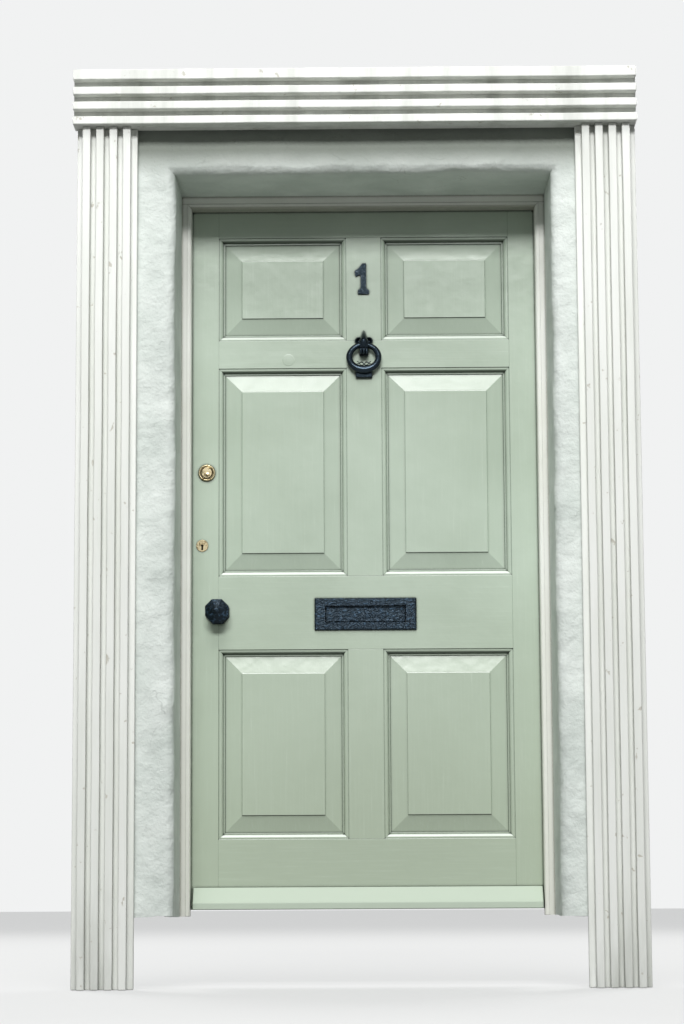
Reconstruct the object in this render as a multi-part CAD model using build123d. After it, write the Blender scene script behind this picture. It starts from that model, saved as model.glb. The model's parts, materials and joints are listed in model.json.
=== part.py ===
from build123d import *
from math import cos, hypot, radians, sin, sqrt
import os

# A six-panel front door in its rebated timber frame, with the painted render skin of the
# reveal and a reeded timber surround. Millimetres, +Z up. X runs from the lock side (-) to
# the hinge side (+), and Y runs from the street (-) into the house (+).
# The origin is the middle of the doorway, at the level the jambs stand on, in the plane of
# the wall's face.

# Doorway and frame
sight_width = 932.0            # clear width between the stops
sight_height = 1905.0          # jamb foot to the underside of the head's stop
rebate_width = 12.0            # width of the planted stop, and of the rebate it makes
stop_depth = 45.0              # street face of the frame to the leaf's side of the stop
jamb_width = 66.0              # sight line to the back of a jamb
head_height = 70.0             # sight line to the top of the frame head
stop_arris = 7.0               # rounded street-side edge of the stop
frame_tenon_thickness = 20.0
frame_tenon_width = 36.0
fixing_hole_radius = 5.0       # frame screws into the masonry
fixing_from_foot = 120.0       # jamb foot to the lowest fixing
fixing_from_head = 65.0        # highest fixing to the head's sight line
fixing_inner_spacing = 720.0   # between the two middle fixings

# Reveal and its render skin
reveal_depth = 250.0           # wall face to the street face of the frame
jamb_showing = 26.5            # width of jamb face left bare by the reveal
head_showing = 32.0            # height of head face left bare by the soffit
render_thickness = 20.0
render_arris = 12.0            # hand-rounded corner of the reveal
render_set_back = 8.0          # how far the skin stops short of the surround's outer edge

# Surround
pilaster_width = 158.0
pilaster_drop = 180.0          # the pilasters run down past the doorstep
render_band_lock = 98.5        # rendered face between the reveal and the pilaster
render_band_hinge = 65.0
lintel_face = 115.0            # rendered face between the soffit and the surround head
board_thickness = 18.0
reed_width = 20.5
reed_height = 30.0
reed_margin = 16.0
reed_count = 4
surround_head_board = 40.0     # the head stands further out than the pilasters
head_reed_width = 21.0
head_groove_width = 19.0
head_reed_count = 3
head_fillet_width = 28.0       # the deeper top member
head_overhang_lock = 8.0
head_overhang_hinge = 1.5

# Leaf
leaf_thickness = 44.0
leaf_side_gap = 3.0
leaf_top_gap = 3.0
under_gap = 17.0               # jamb foot to the bottom of the leaf
closing_gap = 1.0              # leaf to stop when shut
stile_face = 81.0
muntin_face = 94.0
bottom_rail_face = 184.0
lower_panel_opening = 504.0
lock_rail_face = 197.0
frieze_rail_face = 76.0
top_panel_opening = 286.0
top_rail_face = 82.0           # the middle panels take the height that is left
tenon_thickness = 14.0
tenon_inset = 14.0             # rail edge to tenon edge
haunch = 30.0                  # the same at the leaf's top and bottom edges
stub_tenon_length = 28.0
glue_gap = 0.1

# Struck edge: quirk, ovolo and fillet outside, a chamfer inside, the panel groove between
moulding_width = 17.0
quirk_drop = 2.5
ovolo_radius = 8.0
ovolo_width = 12.0
fillet_drop = 1.5              # from the foot of the ovolo to the fillet
inside_chamfer = 9.0
groove_depth = 14.0            # into the moulded edge

# Raised and fielded panels
tongue_reach = 12.0            # how far the tongue enters the groove
tongue_play = 0.2
bevel_width = 46.0
bevel_edge_depth = 15.2        # below the face of the framing
field_base_depth = 8.0
field_depth = 5.0

# Weatherboard
weatherboard_height = 58.0
weatherboard_projection = 36.0
weatherboard_nose = 21.0
weatherboard_arris = 3.0
weatherboard_top_edge = 5.0
weatherboard_lock_gap = 6.5    # the lock end swings out as the leaf opens
weatherboard_hinge_gap = 2.0
drip_width = 6.0
drip_depth = 5.0
drip_set_back = 10.0

# Butt hinges with fixed pins
hinge_height = 100.0
hinge_plate_width = 33.0
hinge_plate_thickness = 2.5
knuckle_radius = 6.0
knuckle_stand_off = 6.5        # pin centre beyond the inside face
knuckle_count = 3
knuckle_gap = 0.3
hinge_pin_radius = 3.5
pin_play = 0.04
pin_set_in = 5.0               # from the ends of the knuckles to those of the pin
hinge_from_top = 200.0         # leaf edge to hinge centre
hinge_from_bottom = 275.0

# Letter plate
letter_plate_width = 272.0
letter_plate_height = 86.0
letter_plate_thickness = 7.0
letter_plate_chamfer = 3.0
letter_plate_drop = 4.5        # middle of the lock rail to the middle of the plate
letter_aperture_width = 217.0
letter_aperture_height = 45.0
letter_slot_width = 232.0      # through the lock rail
letter_slot_height = 50.0
flap_play = 1.2
flap_thickness = 4.0
flap_recess = 1.5
flap_head_play = 0.5
flap_barrel_radius = 3.0
flap_rod_radius = 1.5          # fixed across the aperture of the plate

# Ring knocker
knocker_rise = 60.0            # lower edge of the frieze rail to the ring's pivot
ring_width = 96.0
ring_height = 85.0
ring_top_bar = 14.0            # width of the bar at the top, the sides and the bottom
ring_side_bar = 17.0
ring_bottom_bar = 20.4
ring_thickness = 14.0
ring_chamfer = 4.0
ring_sides = 32
ring_stand_off = 19.0          # face of the leaf to the ring's middle plane
eye_play = 0.8
hanger_wall = 4.5
hanger_half_width = 12.0
hanger_drop = 28.0             # pivot to the tip of the claw
claw_depth = 5.0
claw_notch = 3.0
finial_height = 46.0
finial_foot_drop = 3.0         # pivot to the foot of the middle leaf
finial_width = 18.5
finial_waist = 12.0
finial_shoulder = 20.0         # foot of the leaf to its widest point
finial_neck_width = 8.0
finial_neck = 34.0             # foot of the leaf to where its point begins
finial_ridge = 4.0
finial_tip_thickness = 5.0
volute_radius = 11.2
volute_spread = 13.5
volute_rise = 13.5
volute_thickness = 9.5
strike_width = 44.0
strike_height = 31.0
strike_drop = 88.0             # pivot to the foot of the strike plate
strike_play = 0.6
strike_chamfer = 1.2

# Numeral
numeral_rise = 128.0           # upper edge of the frieze rail to the numeral's foot
numeral_height = 85.0
numeral_stem_width = 14.6
numeral_base_width = 30.0
numeral_base_height = 12.0
numeral_flare = 11.5
numeral_flag_level = 47.3
numeral_flag_end = 13.0
numeral_flag_reach = 16.5
numeral_flag_slant = 3.0
numeral_flag_sag = 4.5
numeral_thickness = 6.0
numeral_bevel = 1.8

# Pull knob
knob_backset = 79.0            # leaf edge to the knob's middle
knob_rise = 1.5                # middle of the lock rail to the knob's middle
knob_corner_radius = 34.0      # the rim's corners
knob_back_corner = 32.5
knob_front_corner = 11.0
knob_boss_corner = 6.0
knob_foot_corner = 16.0
knob_rose_corner = 31.0
knob_rose_edge = 34.0
knob_rose_thickness = 6.0
knob_neck_radius = 12.0
knob_neck_length = 24.0
knob_back_length = 14.0
knob_rim_length = 7.0
knob_front_length = 13.0
knob_boss_length = 4.0

# Rim cylinder and nightlatch
cylinder_backset = 49.0        # leaf edge to the cylinder's centre
cylinder_rise = 282.0          # upper edge of the lock rail to the cylinder's centre
cylinder_ring_radius = 23.0
cylinder_ring_height = 7.0
cylinder_radius = 14.2
cylinder_play = 0.1
cylinder_stand_proud = 2.5
cylinder_hole_radius = 16.0
plug_radius = 6.4
plug_drop = 6.0
plug_play = 0.05
keyway_width = 1.8
keyway_height = 8.0
keyway_depth = 20.0
tail_bar_width = 7.0
tail_bar_thickness = 2.0
tail_bar_reach = 12.0          # into the nightlatch case
tail_bar_play = 1.0
nightlatch_width = 70.0
nightlatch_height = 64.0
nightlatch_depth = 27.0
nightlatch_corner = 6.0
nightlatch_edge = 3.0
nightlatch_knob_radius = 13.0
nightlatch_knob_length = 15.0
nightlatch_knob_edge = 4.0
nightlatch_knob_sides = 10
nightlatch_knob_neck = 7.0
spindle_radius = 4.0
spindle_reach = 8.0
latch_bolt_rise = 14.0         # cylinder centre to the bolt's centre
latch_bolt_height = 22.0
latch_bolt_thickness = 13.0
latch_bolt_length = 34.0
latch_bolt_slope = 9.0
latch_bolt_tip = 10.0          # how much of the bolt's thickness the slope leaves
latch_bolt_throw = 14.0
latch_bolt_set_in = 4.0        # back of the case to the bolt
bolt_play = 0.25
snib_size = 8.0
snib_travel = 6.0
snib_height = 4.0
snib_drop = 23.0
snib_slot_depth = 3.0
snib_chamfer = 1.2
keep_width = 30.0
keep_gap = 4.0
keep_wall = 3.0
keep_room = 2.0                # clear space round the thrown bolt
keep_ear = 12.0                # above and below the bolt

# Mortice deadlock
deadlock_rise = 84.0           # upper edge of the lock rail to the keyhole
deadlock_backset = 37.0
deadlock_depth = 64.0
deadlock_case_height = 78.0
deadlock_case_thickness = 16.0
deadlock_case_rise = 14.0      # keyhole to the middle of the case
forend_height = 120.0
forend_width = 24.0
forend_thickness = 2.5
deadbolt_height = 30.0
deadbolt_thickness = 10.0
deadbolt_length = 44.0
deadbolt_rise = 20.0           # keyhole to the middle of the bolt
case_play = 0.2
strike_plate_thickness = 2.0
strike_box_depth = 20.0
strike_box_wall = 1.5
strike_box_room = 2.0
keyhole_radius = 3.2
keyhole_slot = 4.0
keyhole_drop = 12.0
escutcheon_radius = 16.0
escutcheon_thickness = 2.2
inside_escutcheon_width = 30.0
inside_escutcheon_height = 44.0

# Levels and planes worked out from the sizes above
leaf_edge = sight_width / 2 + rebate_width - leaf_side_gap
leaf_bottom = under_gap
frame_y = reveal_depth
stop_y = frame_y + stop_depth
leaf_y = stop_y + closing_gap
inside_y = leaf_y + leaf_thickness
mid_y = leaf_y + leaf_thickness / 2
rebate_x = sight_width / 2 + rebate_width
rebate_top = sight_height + rebate_width
leaf_top = rebate_top - leaf_top_gap
stile_inner = leaf_edge - stile_face
muntin_half = muntin_face / 2
reveal_half = sight_width / 2 + jamb_showing
soffit = sight_height + head_showing
surround_foot = -pilaster_drop
surround_underside = soffit + lintel_face
surround_head_height = head_reed_count * (head_reed_width + head_groove_width) + head_fillet_width

lower_z0 = leaf_bottom + bottom_rail_face
lower_z1 = lower_z0 + lower_panel_opening
middle_z0 = lower_z1 + lock_rail_face
top_z1 = leaf_top - top_rail_face
top_z0 = top_z1 - top_panel_opening
middle_z1 = top_z0 - frieze_rail_face
panel_rows = [("lower", lower_z0, lower_z1), ("middle", middle_z0, middle_z1), ("top", top_z0, top_z1)]
lock_rail_middle = (lower_z1 + middle_z0) / 2

hinge_x = (leaf_edge + rebate_x) / 2
hinge_y = inside_y + knuckle_stand_off
hinge_levels = [leaf_bottom + hinge_from_bottom, (leaf_bottom + leaf_top) / 2, leaf_top - hinge_from_top]

letter_z = lock_rail_middle - letter_plate_drop
letter_front = leaf_y - letter_plate_thickness
flap_axis_y = letter_front + flap_recess + flap_barrel_radius
flap_axis_z = letter_z + letter_aperture_height / 2 - flap_barrel_radius - flap_head_play

knocker_z = middle_z1 + knocker_rise
knocker_y = leaf_y - ring_stand_off
strike_foot = knocker_z - strike_drop
numeral_foot = top_z0 + numeral_rise
knob_x = -leaf_edge + knob_backset
knob_z = lock_rail_middle + knob_rise

cylinder_x = -leaf_edge + cylinder_backset
cylinder_z = middle_z0 + cylinder_rise
cylinder_front = leaf_y - cylinder_ring_height
plug_z = cylinder_z - plug_drop
latch_bolt_z = cylinder_z + latch_bolt_rise
latch_bolt_y0 = inside_y + latch_bolt_set_in
latch_bolt_y1 = latch_bolt_y0 + latch_bolt_thickness
nightlatch_front = inside_y + nightlatch_depth
keep_x = -leaf_edge - keep_gap
deadlock_x = -leaf_edge + deadlock_backset
deadlock_z = middle_z0 + deadlock_rise
deadlock_case_z = deadlock_z + deadlock_case_rise
deadbolt_z = deadlock_z + deadbolt_rise


# Plain shapes and outlines

def block(x0, x1, y0, y1, z0, z1):
    return Pos((x0 + x1) / 2, (y0 + y1) / 2, (z0 + z1) / 2) * Box(abs(x1 - x0), y1 - y0, z1 - z0)


def closed(*points):
    return Polyline(*points, close=True)


def bowed(start, end, sag):
    # an arc from start to end that bulges to the left of the way there
    (x0, z0), (x1, z1) = start, end
    length = hypot(x1 - x0, z1 - z0)
    middle = ((x0 + x1) / 2 - (z1 - z0) / length * sag, (z0 + z1) / 2 + (x1 - x0) / length * sag)
    return ThreePointArc(start, middle, end)


def prism_along_y(outline, y0, y1):
    # an outline in X and Z, carried from y0 to y1
    face = Pos(0, y0, 0) * (Plane.XZ * make_face(outline))
    return extrude(face, amount=y1 - y0, dir=(0, 1, 0))


def prism_along_x(outline, x0, x1):
    # an outline in Y and Z, carried from x0 to x1
    face = Pos(x0, 0, 0) * (Plane.YZ * make_face(outline))
    return extrude(face, amount=x1 - x0, dir=(1, 0, 0))


def prism_along_z(outline, z0, z1):
    # an outline in X and Y, carried from z0 to z1
    face = Pos(0, 0, z0) * make_face(outline)
    return extrude(face, amount=z1 - z0, dir=(0, 0, 1))


def rod_x(radius, x0, x1, y, z):
    return Pos((x0 + x1) / 2, y, z) * Rot(0, 90, 0) * Cylinder(radius, abs(x1 - x0))


def rod_y(radius, y0, y1, x, z):
    return Pos(x, (y0 + y1) / 2, z) * Rot(90, 0, 0) * Cylinder(radius, abs(y1 - y0))


def rod_z(radius, z0, z1, x, y):
    return Pos(x, y, (z0 + z1) / 2) * Cylinder(radius, abs(z1 - z0))


def front_edges(solid):
    # the edges of the face nearest the street
    return solid.faces().sort_by(Axis.Y)[0].edges()


# Struck edges and framing of the leaf

def moulded_edge(length):
    # One edge of an opening: base along X at z = 0, standing up towards the panel, mitred
    # at both ends. The ovolo is on the street side and the chamfer on the house side.
    back = leaf_thickness
    ovolo_start = ovolo_width - ovolo_radius
    ovolo_foot = quirk_drop + ovolo_radius
    fillet_depth = ovolo_foot + fillet_drop
    groove_front = (leaf_thickness - tenon_thickness) / 2
    groove_back = groove_front + tenon_thickness
    groove_floor = moulding_width - groove_depth
    section = [
        Line((quirk_drop, 0), (quirk_drop, ovolo_start)),
        RadiusArc((quirk_drop, ovolo_start), (ovolo_foot, ovolo_width), ovolo_radius),
        Polyline(
            (ovolo_foot, ovolo_width),
            (fillet_depth, ovolo_width),
            (fillet_depth, moulding_width),
            (groove_front, moulding_width),
            (groove_front, groove_floor),
            (groove_back, groove_floor),
            (groove_back, moulding_width),
            (back - inside_chamfer, moulding_width),
            (back, moulding_width - inside_chamfer),
            (back, 0),
            (quirk_drop, 0),
        ),
    ]
    strip = prism_along_x(section, 0, length)
    inner = length - moulding_width
    mitre = closed((0, 0), (length, 0), (inner, moulding_width), (moulding_width, moulding_width))
    return Pos(0, leaf_y, 0) * (strip & prism_along_y(mitre, 0, leaf_thickness))


def edge_above(x0, x1, z):
    return Pos(x0, 0, z) * moulded_edge(x1 - x0)


def edge_below(x0, x1, z):
    return Pos(x1, 0, z) * Rot(0, 180, 0) * moulded_edge(x1 - x0)


def edge_right(x, z0, z1):
    return Pos(x, 0, z1) * Rot(0, 90, 0) * moulded_edge(z1 - z0)


def edge_left(x, z0, z1):
    return Pos(x, 0, z0) * Rot(0, -90, 0) * moulded_edge(z1 - z0)


def tenon_block(half, z0, z1, gap=0.0):
    # a tenon, or with a gap the mortice cut for it
    thick = tenon_thickness / 2 - glue_gap + gap
    return block(-half - gap, half + gap, mid_y - thick, mid_y + thick, z0 - gap, z1 + gap)


# name: (lower edge, upper edge, tenon's inset at the lower edge, the same at the upper edge)
rails = {
    "bottom_rail": (leaf_bottom, lower_z0, haunch, tenon_inset),
    "lock_rail": (lower_z1, middle_z0, tenon_inset, tenon_inset),
    "frieze_rail": (middle_z1, top_z0, tenon_inset, tenon_inset),
    "top_rail": (top_z1, leaf_top, tenon_inset, haunch),
}


def rail_mortices():
    return [tenon_block(leaf_edge, z0 + low, z1 - high, glue_gap) for z0, z1, low, high in rails.values()]


def muntin_tenon(z0, z1, gap=0.0):
    return tenon_block(muntin_half - tenon_inset, z0 - stub_tenon_length, z1 + stub_tenon_length, gap)


def stile(side):
    # side is -1 for the lock stile, +1 for the hinge stile
    inner = side * stile_inner
    x0, x1 = sorted((side * leaf_edge, inner))
    body = block(x0, x1, leaf_y, inside_y, leaf_bottom, leaf_top)
    for _, z0, z1 in panel_rows:
        body += edge_right(inner, z0, z1) if side < 0 else edge_left(inner, z0, z1)
    return body - rail_mortices()


def rail(name):
    z0, z1, low, high = rails[name]
    body = block(-stile_inner, stile_inner, leaf_y, inside_y, z0, z1)
    for x0, x1 in ((-stile_inner, -muntin_half), (muntin_half, stile_inner)):
        if name != "top_rail":
            body += edge_above(x0, x1, z1)
        if name != "bottom_rail":
            body += edge_below(x0, x1, z0)
    body += tenon_block(leaf_edge, z0 + low, z1 - high)
    body -= [muntin_tenon(bottom, top, glue_gap) for _, bottom, top in panel_rows]
    return body - hinge_housings(-1)


def muntin(z0, z1):
    body = block(-muntin_half, muntin_half, leaf_y, inside_y, z0, z1)
    body += edge_right(muntin_half, z0, z1)
    body += edge_left(-muntin_half, z0, z1)
    return body + muntin_tenon(z0, z1)


def raised_section(start, end):
    # (position across the panel, y) of a panel raised and fielded on both faces
    front = [
        (start, bevel_edge_depth),
        (start + bevel_width, field_base_depth),
        (start + bevel_width, field_depth),
        (end - bevel_width, field_depth),
        (end - bevel_width, field_base_depth),
        (end, bevel_edge_depth),
    ]
    rear = [(across, leaf_thickness - depth) for across, depth in reversed(front)]
    return [(across, leaf_y + depth) for across, depth in front + rear]


def panel(x0, x1, z0, z1):
    # x0 to z1 bound the opening at the face of the framing
    sight = moulding_width + tongue_play
    body = prism_along_z(closed(*raised_section(x0 + sight, x1 - sight)), z0, z1)
    upright = [(y, z) for z, y in raised_section(z0 + sight, z1 - sight)]
    body &= prism_along_x(closed(*upright), x0, x1)
    edge = moulding_width - tongue_reach
    half = tenon_thickness / 2 - tongue_play
    return body + block(x0 + edge, x1 - edge, mid_y - half, mid_y + half, z0 + edge, z1 - edge)


def weatherboard():
    z0 = leaf_bottom
    nose_y = leaf_y - weatherboard_projection
    drip_y0 = nose_y + drip_set_back
    drip_y1 = drip_y0 + drip_width
    outline = closed(
        (leaf_y, z0),
        (drip_y1, z0),
        (drip_y1, z0 + drip_depth),
        (drip_y0, z0 + drip_depth),
        (drip_y0, z0),
        (nose_y, z0),
        (nose_y, z0 + weatherboard_nose - weatherboard_arris),
        (nose_y + weatherboard_arris, z0 + weatherboard_nose),
        (leaf_y - weatherboard_top_edge, z0 + weatherboard_height),
        (leaf_y, z0 + weatherboard_height),
    )
    lock_end = -sight_width / 2 + weatherboard_lock_gap
    hinge_end = sight_width / 2 - weatherboard_hinge_gap
    return prism_along_x(outline, lock_end, hinge_end)


# Frame, reveal and surround

def jamb_back():
    return sight_width / 2 + jamb_width


def stop_ring():
    # the planted stop round the doorway, before its corners are mitred
    half = sight_width / 2
    body = block(-rebate_x, rebate_x, frame_y, stop_y, 0, rebate_top)
    body -= block(-half, half, frame_y, stop_y, 0, sight_height)
    street_edges = body.edges().filter_by_position(Axis.Y, frame_y - 0.1, frame_y + 0.1)
    sight = [e for e in street_edges if abs(e.center().X) <= half and 0 < e.center().Z <= sight_height]
    return fillet(sight, stop_arris)


def side_stop_region(side):
    half = sight_width / 2
    corners = [(half, 0), (rebate_x, 0), (rebate_x, rebate_top), (half, sight_height)]
    return prism_along_y(closed(*[(side * x, z) for x, z in corners]), frame_y, stop_y)


def frame_tenon(side, gap=0.0):
    # a tenon on the jamb's top, or with a gap the mortice through the head
    middle = side * (rebate_x + jamb_back()) / 2
    half = frame_tenon_width / 2 + gap
    thick = frame_tenon_thickness / 2 + gap
    top = sight_height + head_height
    return block(middle - half, middle + half, mid_y - thick, mid_y + thick, rebate_top, top)


def fixing_levels():
    lowest = fixing_from_foot
    highest = sight_height - fixing_from_head
    middle = (lowest + highest) / 2
    return [lowest, middle - fixing_inner_spacing / 2, middle + fixing_inner_spacing / 2, highest]


def jamb(side):
    x0, x1 = sorted((side * rebate_x, side * jamb_back()))
    body = block(x0, x1, frame_y, inside_y, 0, rebate_top) + frame_tenon(side)
    return body - [rod_x(fixing_hole_radius, x0, x1, mid_y, z) for z in fixing_levels()]


def frame_head():
    half = jamb_back()
    body = block(-half, half, frame_y, inside_y, rebate_top, sight_height + head_height)
    return body - frame_tenon(-1, glue_gap) - frame_tenon(1, glue_gap)


def pilaster_span(side):
    band = render_band_lock if side < 0 else render_band_hinge
    return sorted((side * (reveal_half + band), side * (reveal_half + band + pilaster_width)))


def surround_ends():
    return pilaster_span(-1)[0], pilaster_span(1)[1]


def render_side(side):
    reveal_x = side * reveal_half
    outer = surround_ends()[0] + render_set_back if side < 0 else surround_ends()[1] - render_set_back
    body = block(reveal_x, outer, 0, render_thickness, 0, soffit)
    body += block(reveal_x, reveal_x + side * render_thickness, 0, reveal_depth, 0, soffit)
    arris = body.edges().filter_by(Axis.Z).sort_by_distance((reveal_x, 0, soffit / 2))[0]
    return fillet(arris, render_arris)


def render_head():
    x0, x1 = surround_ends()
    top = surround_underside + surround_head_height - render_set_back
    body = block(x0 + render_set_back, x1 - render_set_back, 0, render_thickness, soffit, top)
    half = reveal_half + render_thickness
    body += block(-half, half, 0, reveal_depth, soffit, soffit + render_thickness)
    arris = body.edges().filter_by(Axis.X).sort_by_distance((0, 0, soffit))[0]
    return fillet(arris, render_arris)


def pilaster_board(side):
    x0, x1 = pilaster_span(side)
    return block(x0, x1, -board_thickness, 0, surround_foot, surround_underside)


def pilaster_reeds(side):
    x0, _ = pilaster_span(side)
    groove = (pilaster_width - 2 * reed_margin - reed_count * reed_width) / (reed_count - 1)
    front = -board_thickness - reed_height
    reeds = []
    for index in range(reed_count):
        start = x0 + reed_margin + index * (reed_width + groove)
        end = start + reed_width
        reeds.append(block(start, end, front, -board_thickness, surround_foot, surround_underside))
    return Compound(children=reeds)


def surround_head_ends():
    x0, x1 = surround_ends()
    return x0 - head_overhang_lock, x1 + head_overhang_hinge


def surround_head():
    x0, x1 = surround_head_ends()
    top = surround_underside + surround_head_height
    return block(x0, x1, -surround_head_board, 0, surround_underside, top)


def surround_head_reeds():
    x0, x1 = surround_head_ends()
    front = -surround_head_board - reed_height
    members = []
    z = surround_underside
    for height in [head_reed_width] * head_reed_count + [head_fillet_width]:
        members.append(block(x0, x1, front, -surround_head_board, z, z + height))
        z += height + head_groove_width
    return Compound(children=members)


# Hinges

def knuckle_spans(level, side):
    pitch = hinge_height / knuckle_count
    bottom = level - hinge_height / 2
    spans = [(bottom + k * pitch, bottom + (k + 1) * pitch) for k in range(knuckle_count)]
    return spans[0::2] if side > 0 else spans[1::2]


def hinge_face(side):
    # side is +1 for the half on the frame, -1 for the half on the leaf
    return rebate_x if side > 0 else leaf_edge


def hinge_half(level, side):
    # a plate let in flush, and knuckles on short webs; the frame's half carries the pin
    face = hinge_face(side)
    z0 = level - hinge_height / 2
    z1 = level + hinge_height / 2
    x1 = face + side * hinge_plate_thickness
    clear = knuckle_gap / 2
    body = block(face, x1, inside_y - hinge_plate_width, inside_y, z0, z1)
    for low, high in knuckle_spans(level, side):
        low = max(low + clear, z0)
        high = min(high - clear, z1)
        body += block(face, x1, inside_y, hinge_y, low, high)
        body += rod_z(knuckle_radius, low, high, hinge_x, hinge_y)
    if side > 0:
        return body + rod_z(hinge_pin_radius, z0 + pin_set_in, z1 - pin_set_in, hinge_x, hinge_y)
    return body - rod_z(hinge_pin_radius + pin_play, z0, z1, hinge_x, hinge_y)


def hinge_housings(side):
    # recesses for the plates
    face = hinge_face(side)
    half = hinge_height / 2
    x1 = face + side * hinge_plate_thickness
    y0 = inside_y - hinge_plate_width
    return [block(face, x1, y0, inside_y, level - half, level + half) for level in hinge_levels]


# Letter plate

def letter_plate():
    half_x = letter_plate_width / 2
    half_z = letter_plate_height / 2
    body = block(-half_x, half_x, letter_front, leaf_y, letter_z - half_z, letter_z + half_z)
    body = chamfer(front_edges(body), letter_plate_chamfer)
    half_x = letter_aperture_width / 2
    half_z = letter_aperture_height / 2
    body -= block(-half_x, half_x, letter_front, leaf_y, letter_z - half_z, letter_z + half_z)
    return body + rod_x(flap_rod_radius, -half_x, half_x, flap_axis_y, flap_axis_z)


def letter_flap():
    half_x = letter_aperture_width / 2 - flap_play
    bottom = letter_z - letter_aperture_height / 2 + flap_play
    front = letter_front + flap_recess
    body = block(-half_x, half_x, front, front + flap_thickness, bottom, flap_axis_z)
    body += rod_x(flap_barrel_radius, -half_x, half_x, flap_axis_y, flap_axis_z)
    return body - rod_x(flap_rod_radius + pin_play, -half_x, half_x, flap_axis_y, flap_axis_z)


def letter_slot():
    half_x = letter_slot_width / 2
    half_z = letter_slot_height / 2
    return block(-half_x, half_x, leaf_y, inside_y, letter_z - half_z, letter_z + half_z)


# Ring knocker

def ring_inner_half_width():
    return ring_width / 2 - ring_side_bar


def ring_inner_half_height():
    return (ring_height - ring_top_bar - ring_bottom_bar) / 2


def oval(half_width, half_height, z):
    turns = [radians(360 / ring_sides * k) for k in range(ring_sides)]
    return closed(*[(half_width * cos(turn), z + half_height * sin(turn)) for turn in turns])


def knocker_ring():
    # an oval ring, heavier towards the bottom, hung by the middle of its top bar
    outer_z = knocker_z + ring_top_bar / 2 - ring_height / 2
    inner_z = knocker_z - ring_top_bar / 2 - ring_inner_half_height()
    y0 = knocker_y - ring_thickness / 2
    y1 = knocker_y + ring_thickness / 2
    body = prism_along_y(oval(ring_width / 2, ring_height / 2, outer_z), y0, y1)
    body -= prism_along_y(oval(ring_inner_half_width(), ring_inner_half_height(), inner_z), y0, y1)
    return chamfer(body.faces().filter_by(Axis.Y).edges(), ring_chamfer)


def eye_radius():
    # round the chamfered bar, with what its curve falls away across the hanger's width
    across = hanger_half_width / ring_inner_half_width()
    fall = ring_inner_half_height() * (1 - sqrt(1 - across**2))
    return hypot(ring_top_bar / 2 + fall, ring_thickness / 2 - ring_chamfer) + eye_play


def finial_leaf():
    foot = knocker_z - finial_foot_drop
    shoulder = foot + finial_shoulder
    neck = foot + finial_neck
    tip = foot + finial_height
    waist_x = finial_waist / 2
    wide_x = finial_width / 2
    neck_x = finial_neck_width / 2
    right = [(waist_x, foot), (wide_x, shoulder), (neck_x, neck)]
    left = [(-x, z) for x, z in reversed(right)]
    outline = closed(*right, (0, tip), *left)
    front = hanger_front() - finial_ridge
    tip_y = leaf_y - finial_tip_thickness
    side = closed((leaf_y, foot), (front, foot), (front, shoulder), (tip_y, tip), (leaf_y, tip))
    ridged = closed(
        (-wide_x, leaf_y),
        (wide_x, leaf_y),
        (wide_x, front + finial_ridge),
        (0, front),
        (-wide_x, front + finial_ridge),
    )
    body = prism_along_y(outline, front, leaf_y) & prism_along_x(side, -wide_x, wide_x)
    return body & prism_along_z(ridged, foot, tip)


def volute(side):
    x = side * volute_spread
    return rod_y(volute_radius, leaf_y - volute_thickness, leaf_y, x, knocker_z + volute_rise)


def hanger_front():
    return knocker_y - eye_radius() - hanger_wall


def knocker_hanger():
    # one casting: the block with the ring's eye and a claw below, the leaf and two volutes
    half = hanger_half_width
    tip = knocker_z - hanger_drop
    claw = closed(
        (-half, knocker_z),
        (-half, tip + claw_depth),
        (-half * 0.75, tip),
        (-half * 0.3, tip + claw_notch),
        (0, tip),
        (half * 0.3, tip + claw_notch),
        (half * 0.75, tip),
        (half, tip + claw_depth),
        (half, knocker_z),
    )
    body = prism_along_y(claw, hanger_front(), leaf_y)
    body += rod_x(eye_radius() + hanger_wall, -half, half, knocker_y, knocker_z)
    body += block(-half, half, knocker_y, leaf_y, knocker_z, knocker_z + eye_radius() + hanger_wall)
    body += finial_leaf()
    body += volute(-1)
    body += volute(1)
    return body - rod_x(eye_radius(), -half, half, knocker_y, knocker_z)


def knocker_strike():
    front = knocker_y + ring_thickness / 2 + strike_play
    half = strike_width / 2
    body = block(-half, half, front, leaf_y, strike_foot, strike_foot + strike_height)
    return chamfer(front_edges(body), strike_chamfer)


# Numeral

def house_number():
    stem = numeral_stem_width / 2
    base = numeral_base_width / 2
    top = numeral_height
    flare_top = numeral_base_height + numeral_flare
    flag_x = -stem - numeral_flag_reach
    flag_tip = (flag_x, numeral_flag_level + numeral_flag_end)
    outline = [
        bowed((-stem, top), flag_tip, numeral_flag_sag),
        Polyline(
            flag_tip,
            (flag_x + numeral_flag_slant, numeral_flag_level),
            (-stem, numeral_flag_level),
            (-stem, flare_top),
            (-base, numeral_base_height),
            (-base, 0),
            (base, 0),
            (base, numeral_base_height),
            (stem, flare_top),
            (stem, top),
            (-stem, top),
        ),
    ]
    body = Pos(0, 0, numeral_foot) * prism_along_y(outline, leaf_y - numeral_thickness, leaf_y)
    return chamfer(front_edges(body), numeral_bevel)


# Pull knob

def octagon(corner, y):
    turns = [radians(22.5 + 45 * k) for k in range(8)]
    return [(knob_x + corner * cos(turn), y, knob_z + corner * sin(turn)) for turn in turns]


def faceted(*levels):
    # flat facets between octagons, each given as its y and its corner radius
    rings = [octagon(corner, y) for y, corner in levels]
    outlines = [rings[0], rings[-1]]
    for near, far in zip(rings, rings[1:]):
        for k in range(8):
            after = (k + 1) % 8
            outlines.append([near[k], near[after], far[after], far[k]])
    return Solid(Shell([Face(Wire.make_polygon(points)) for points in outlines]))


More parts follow.
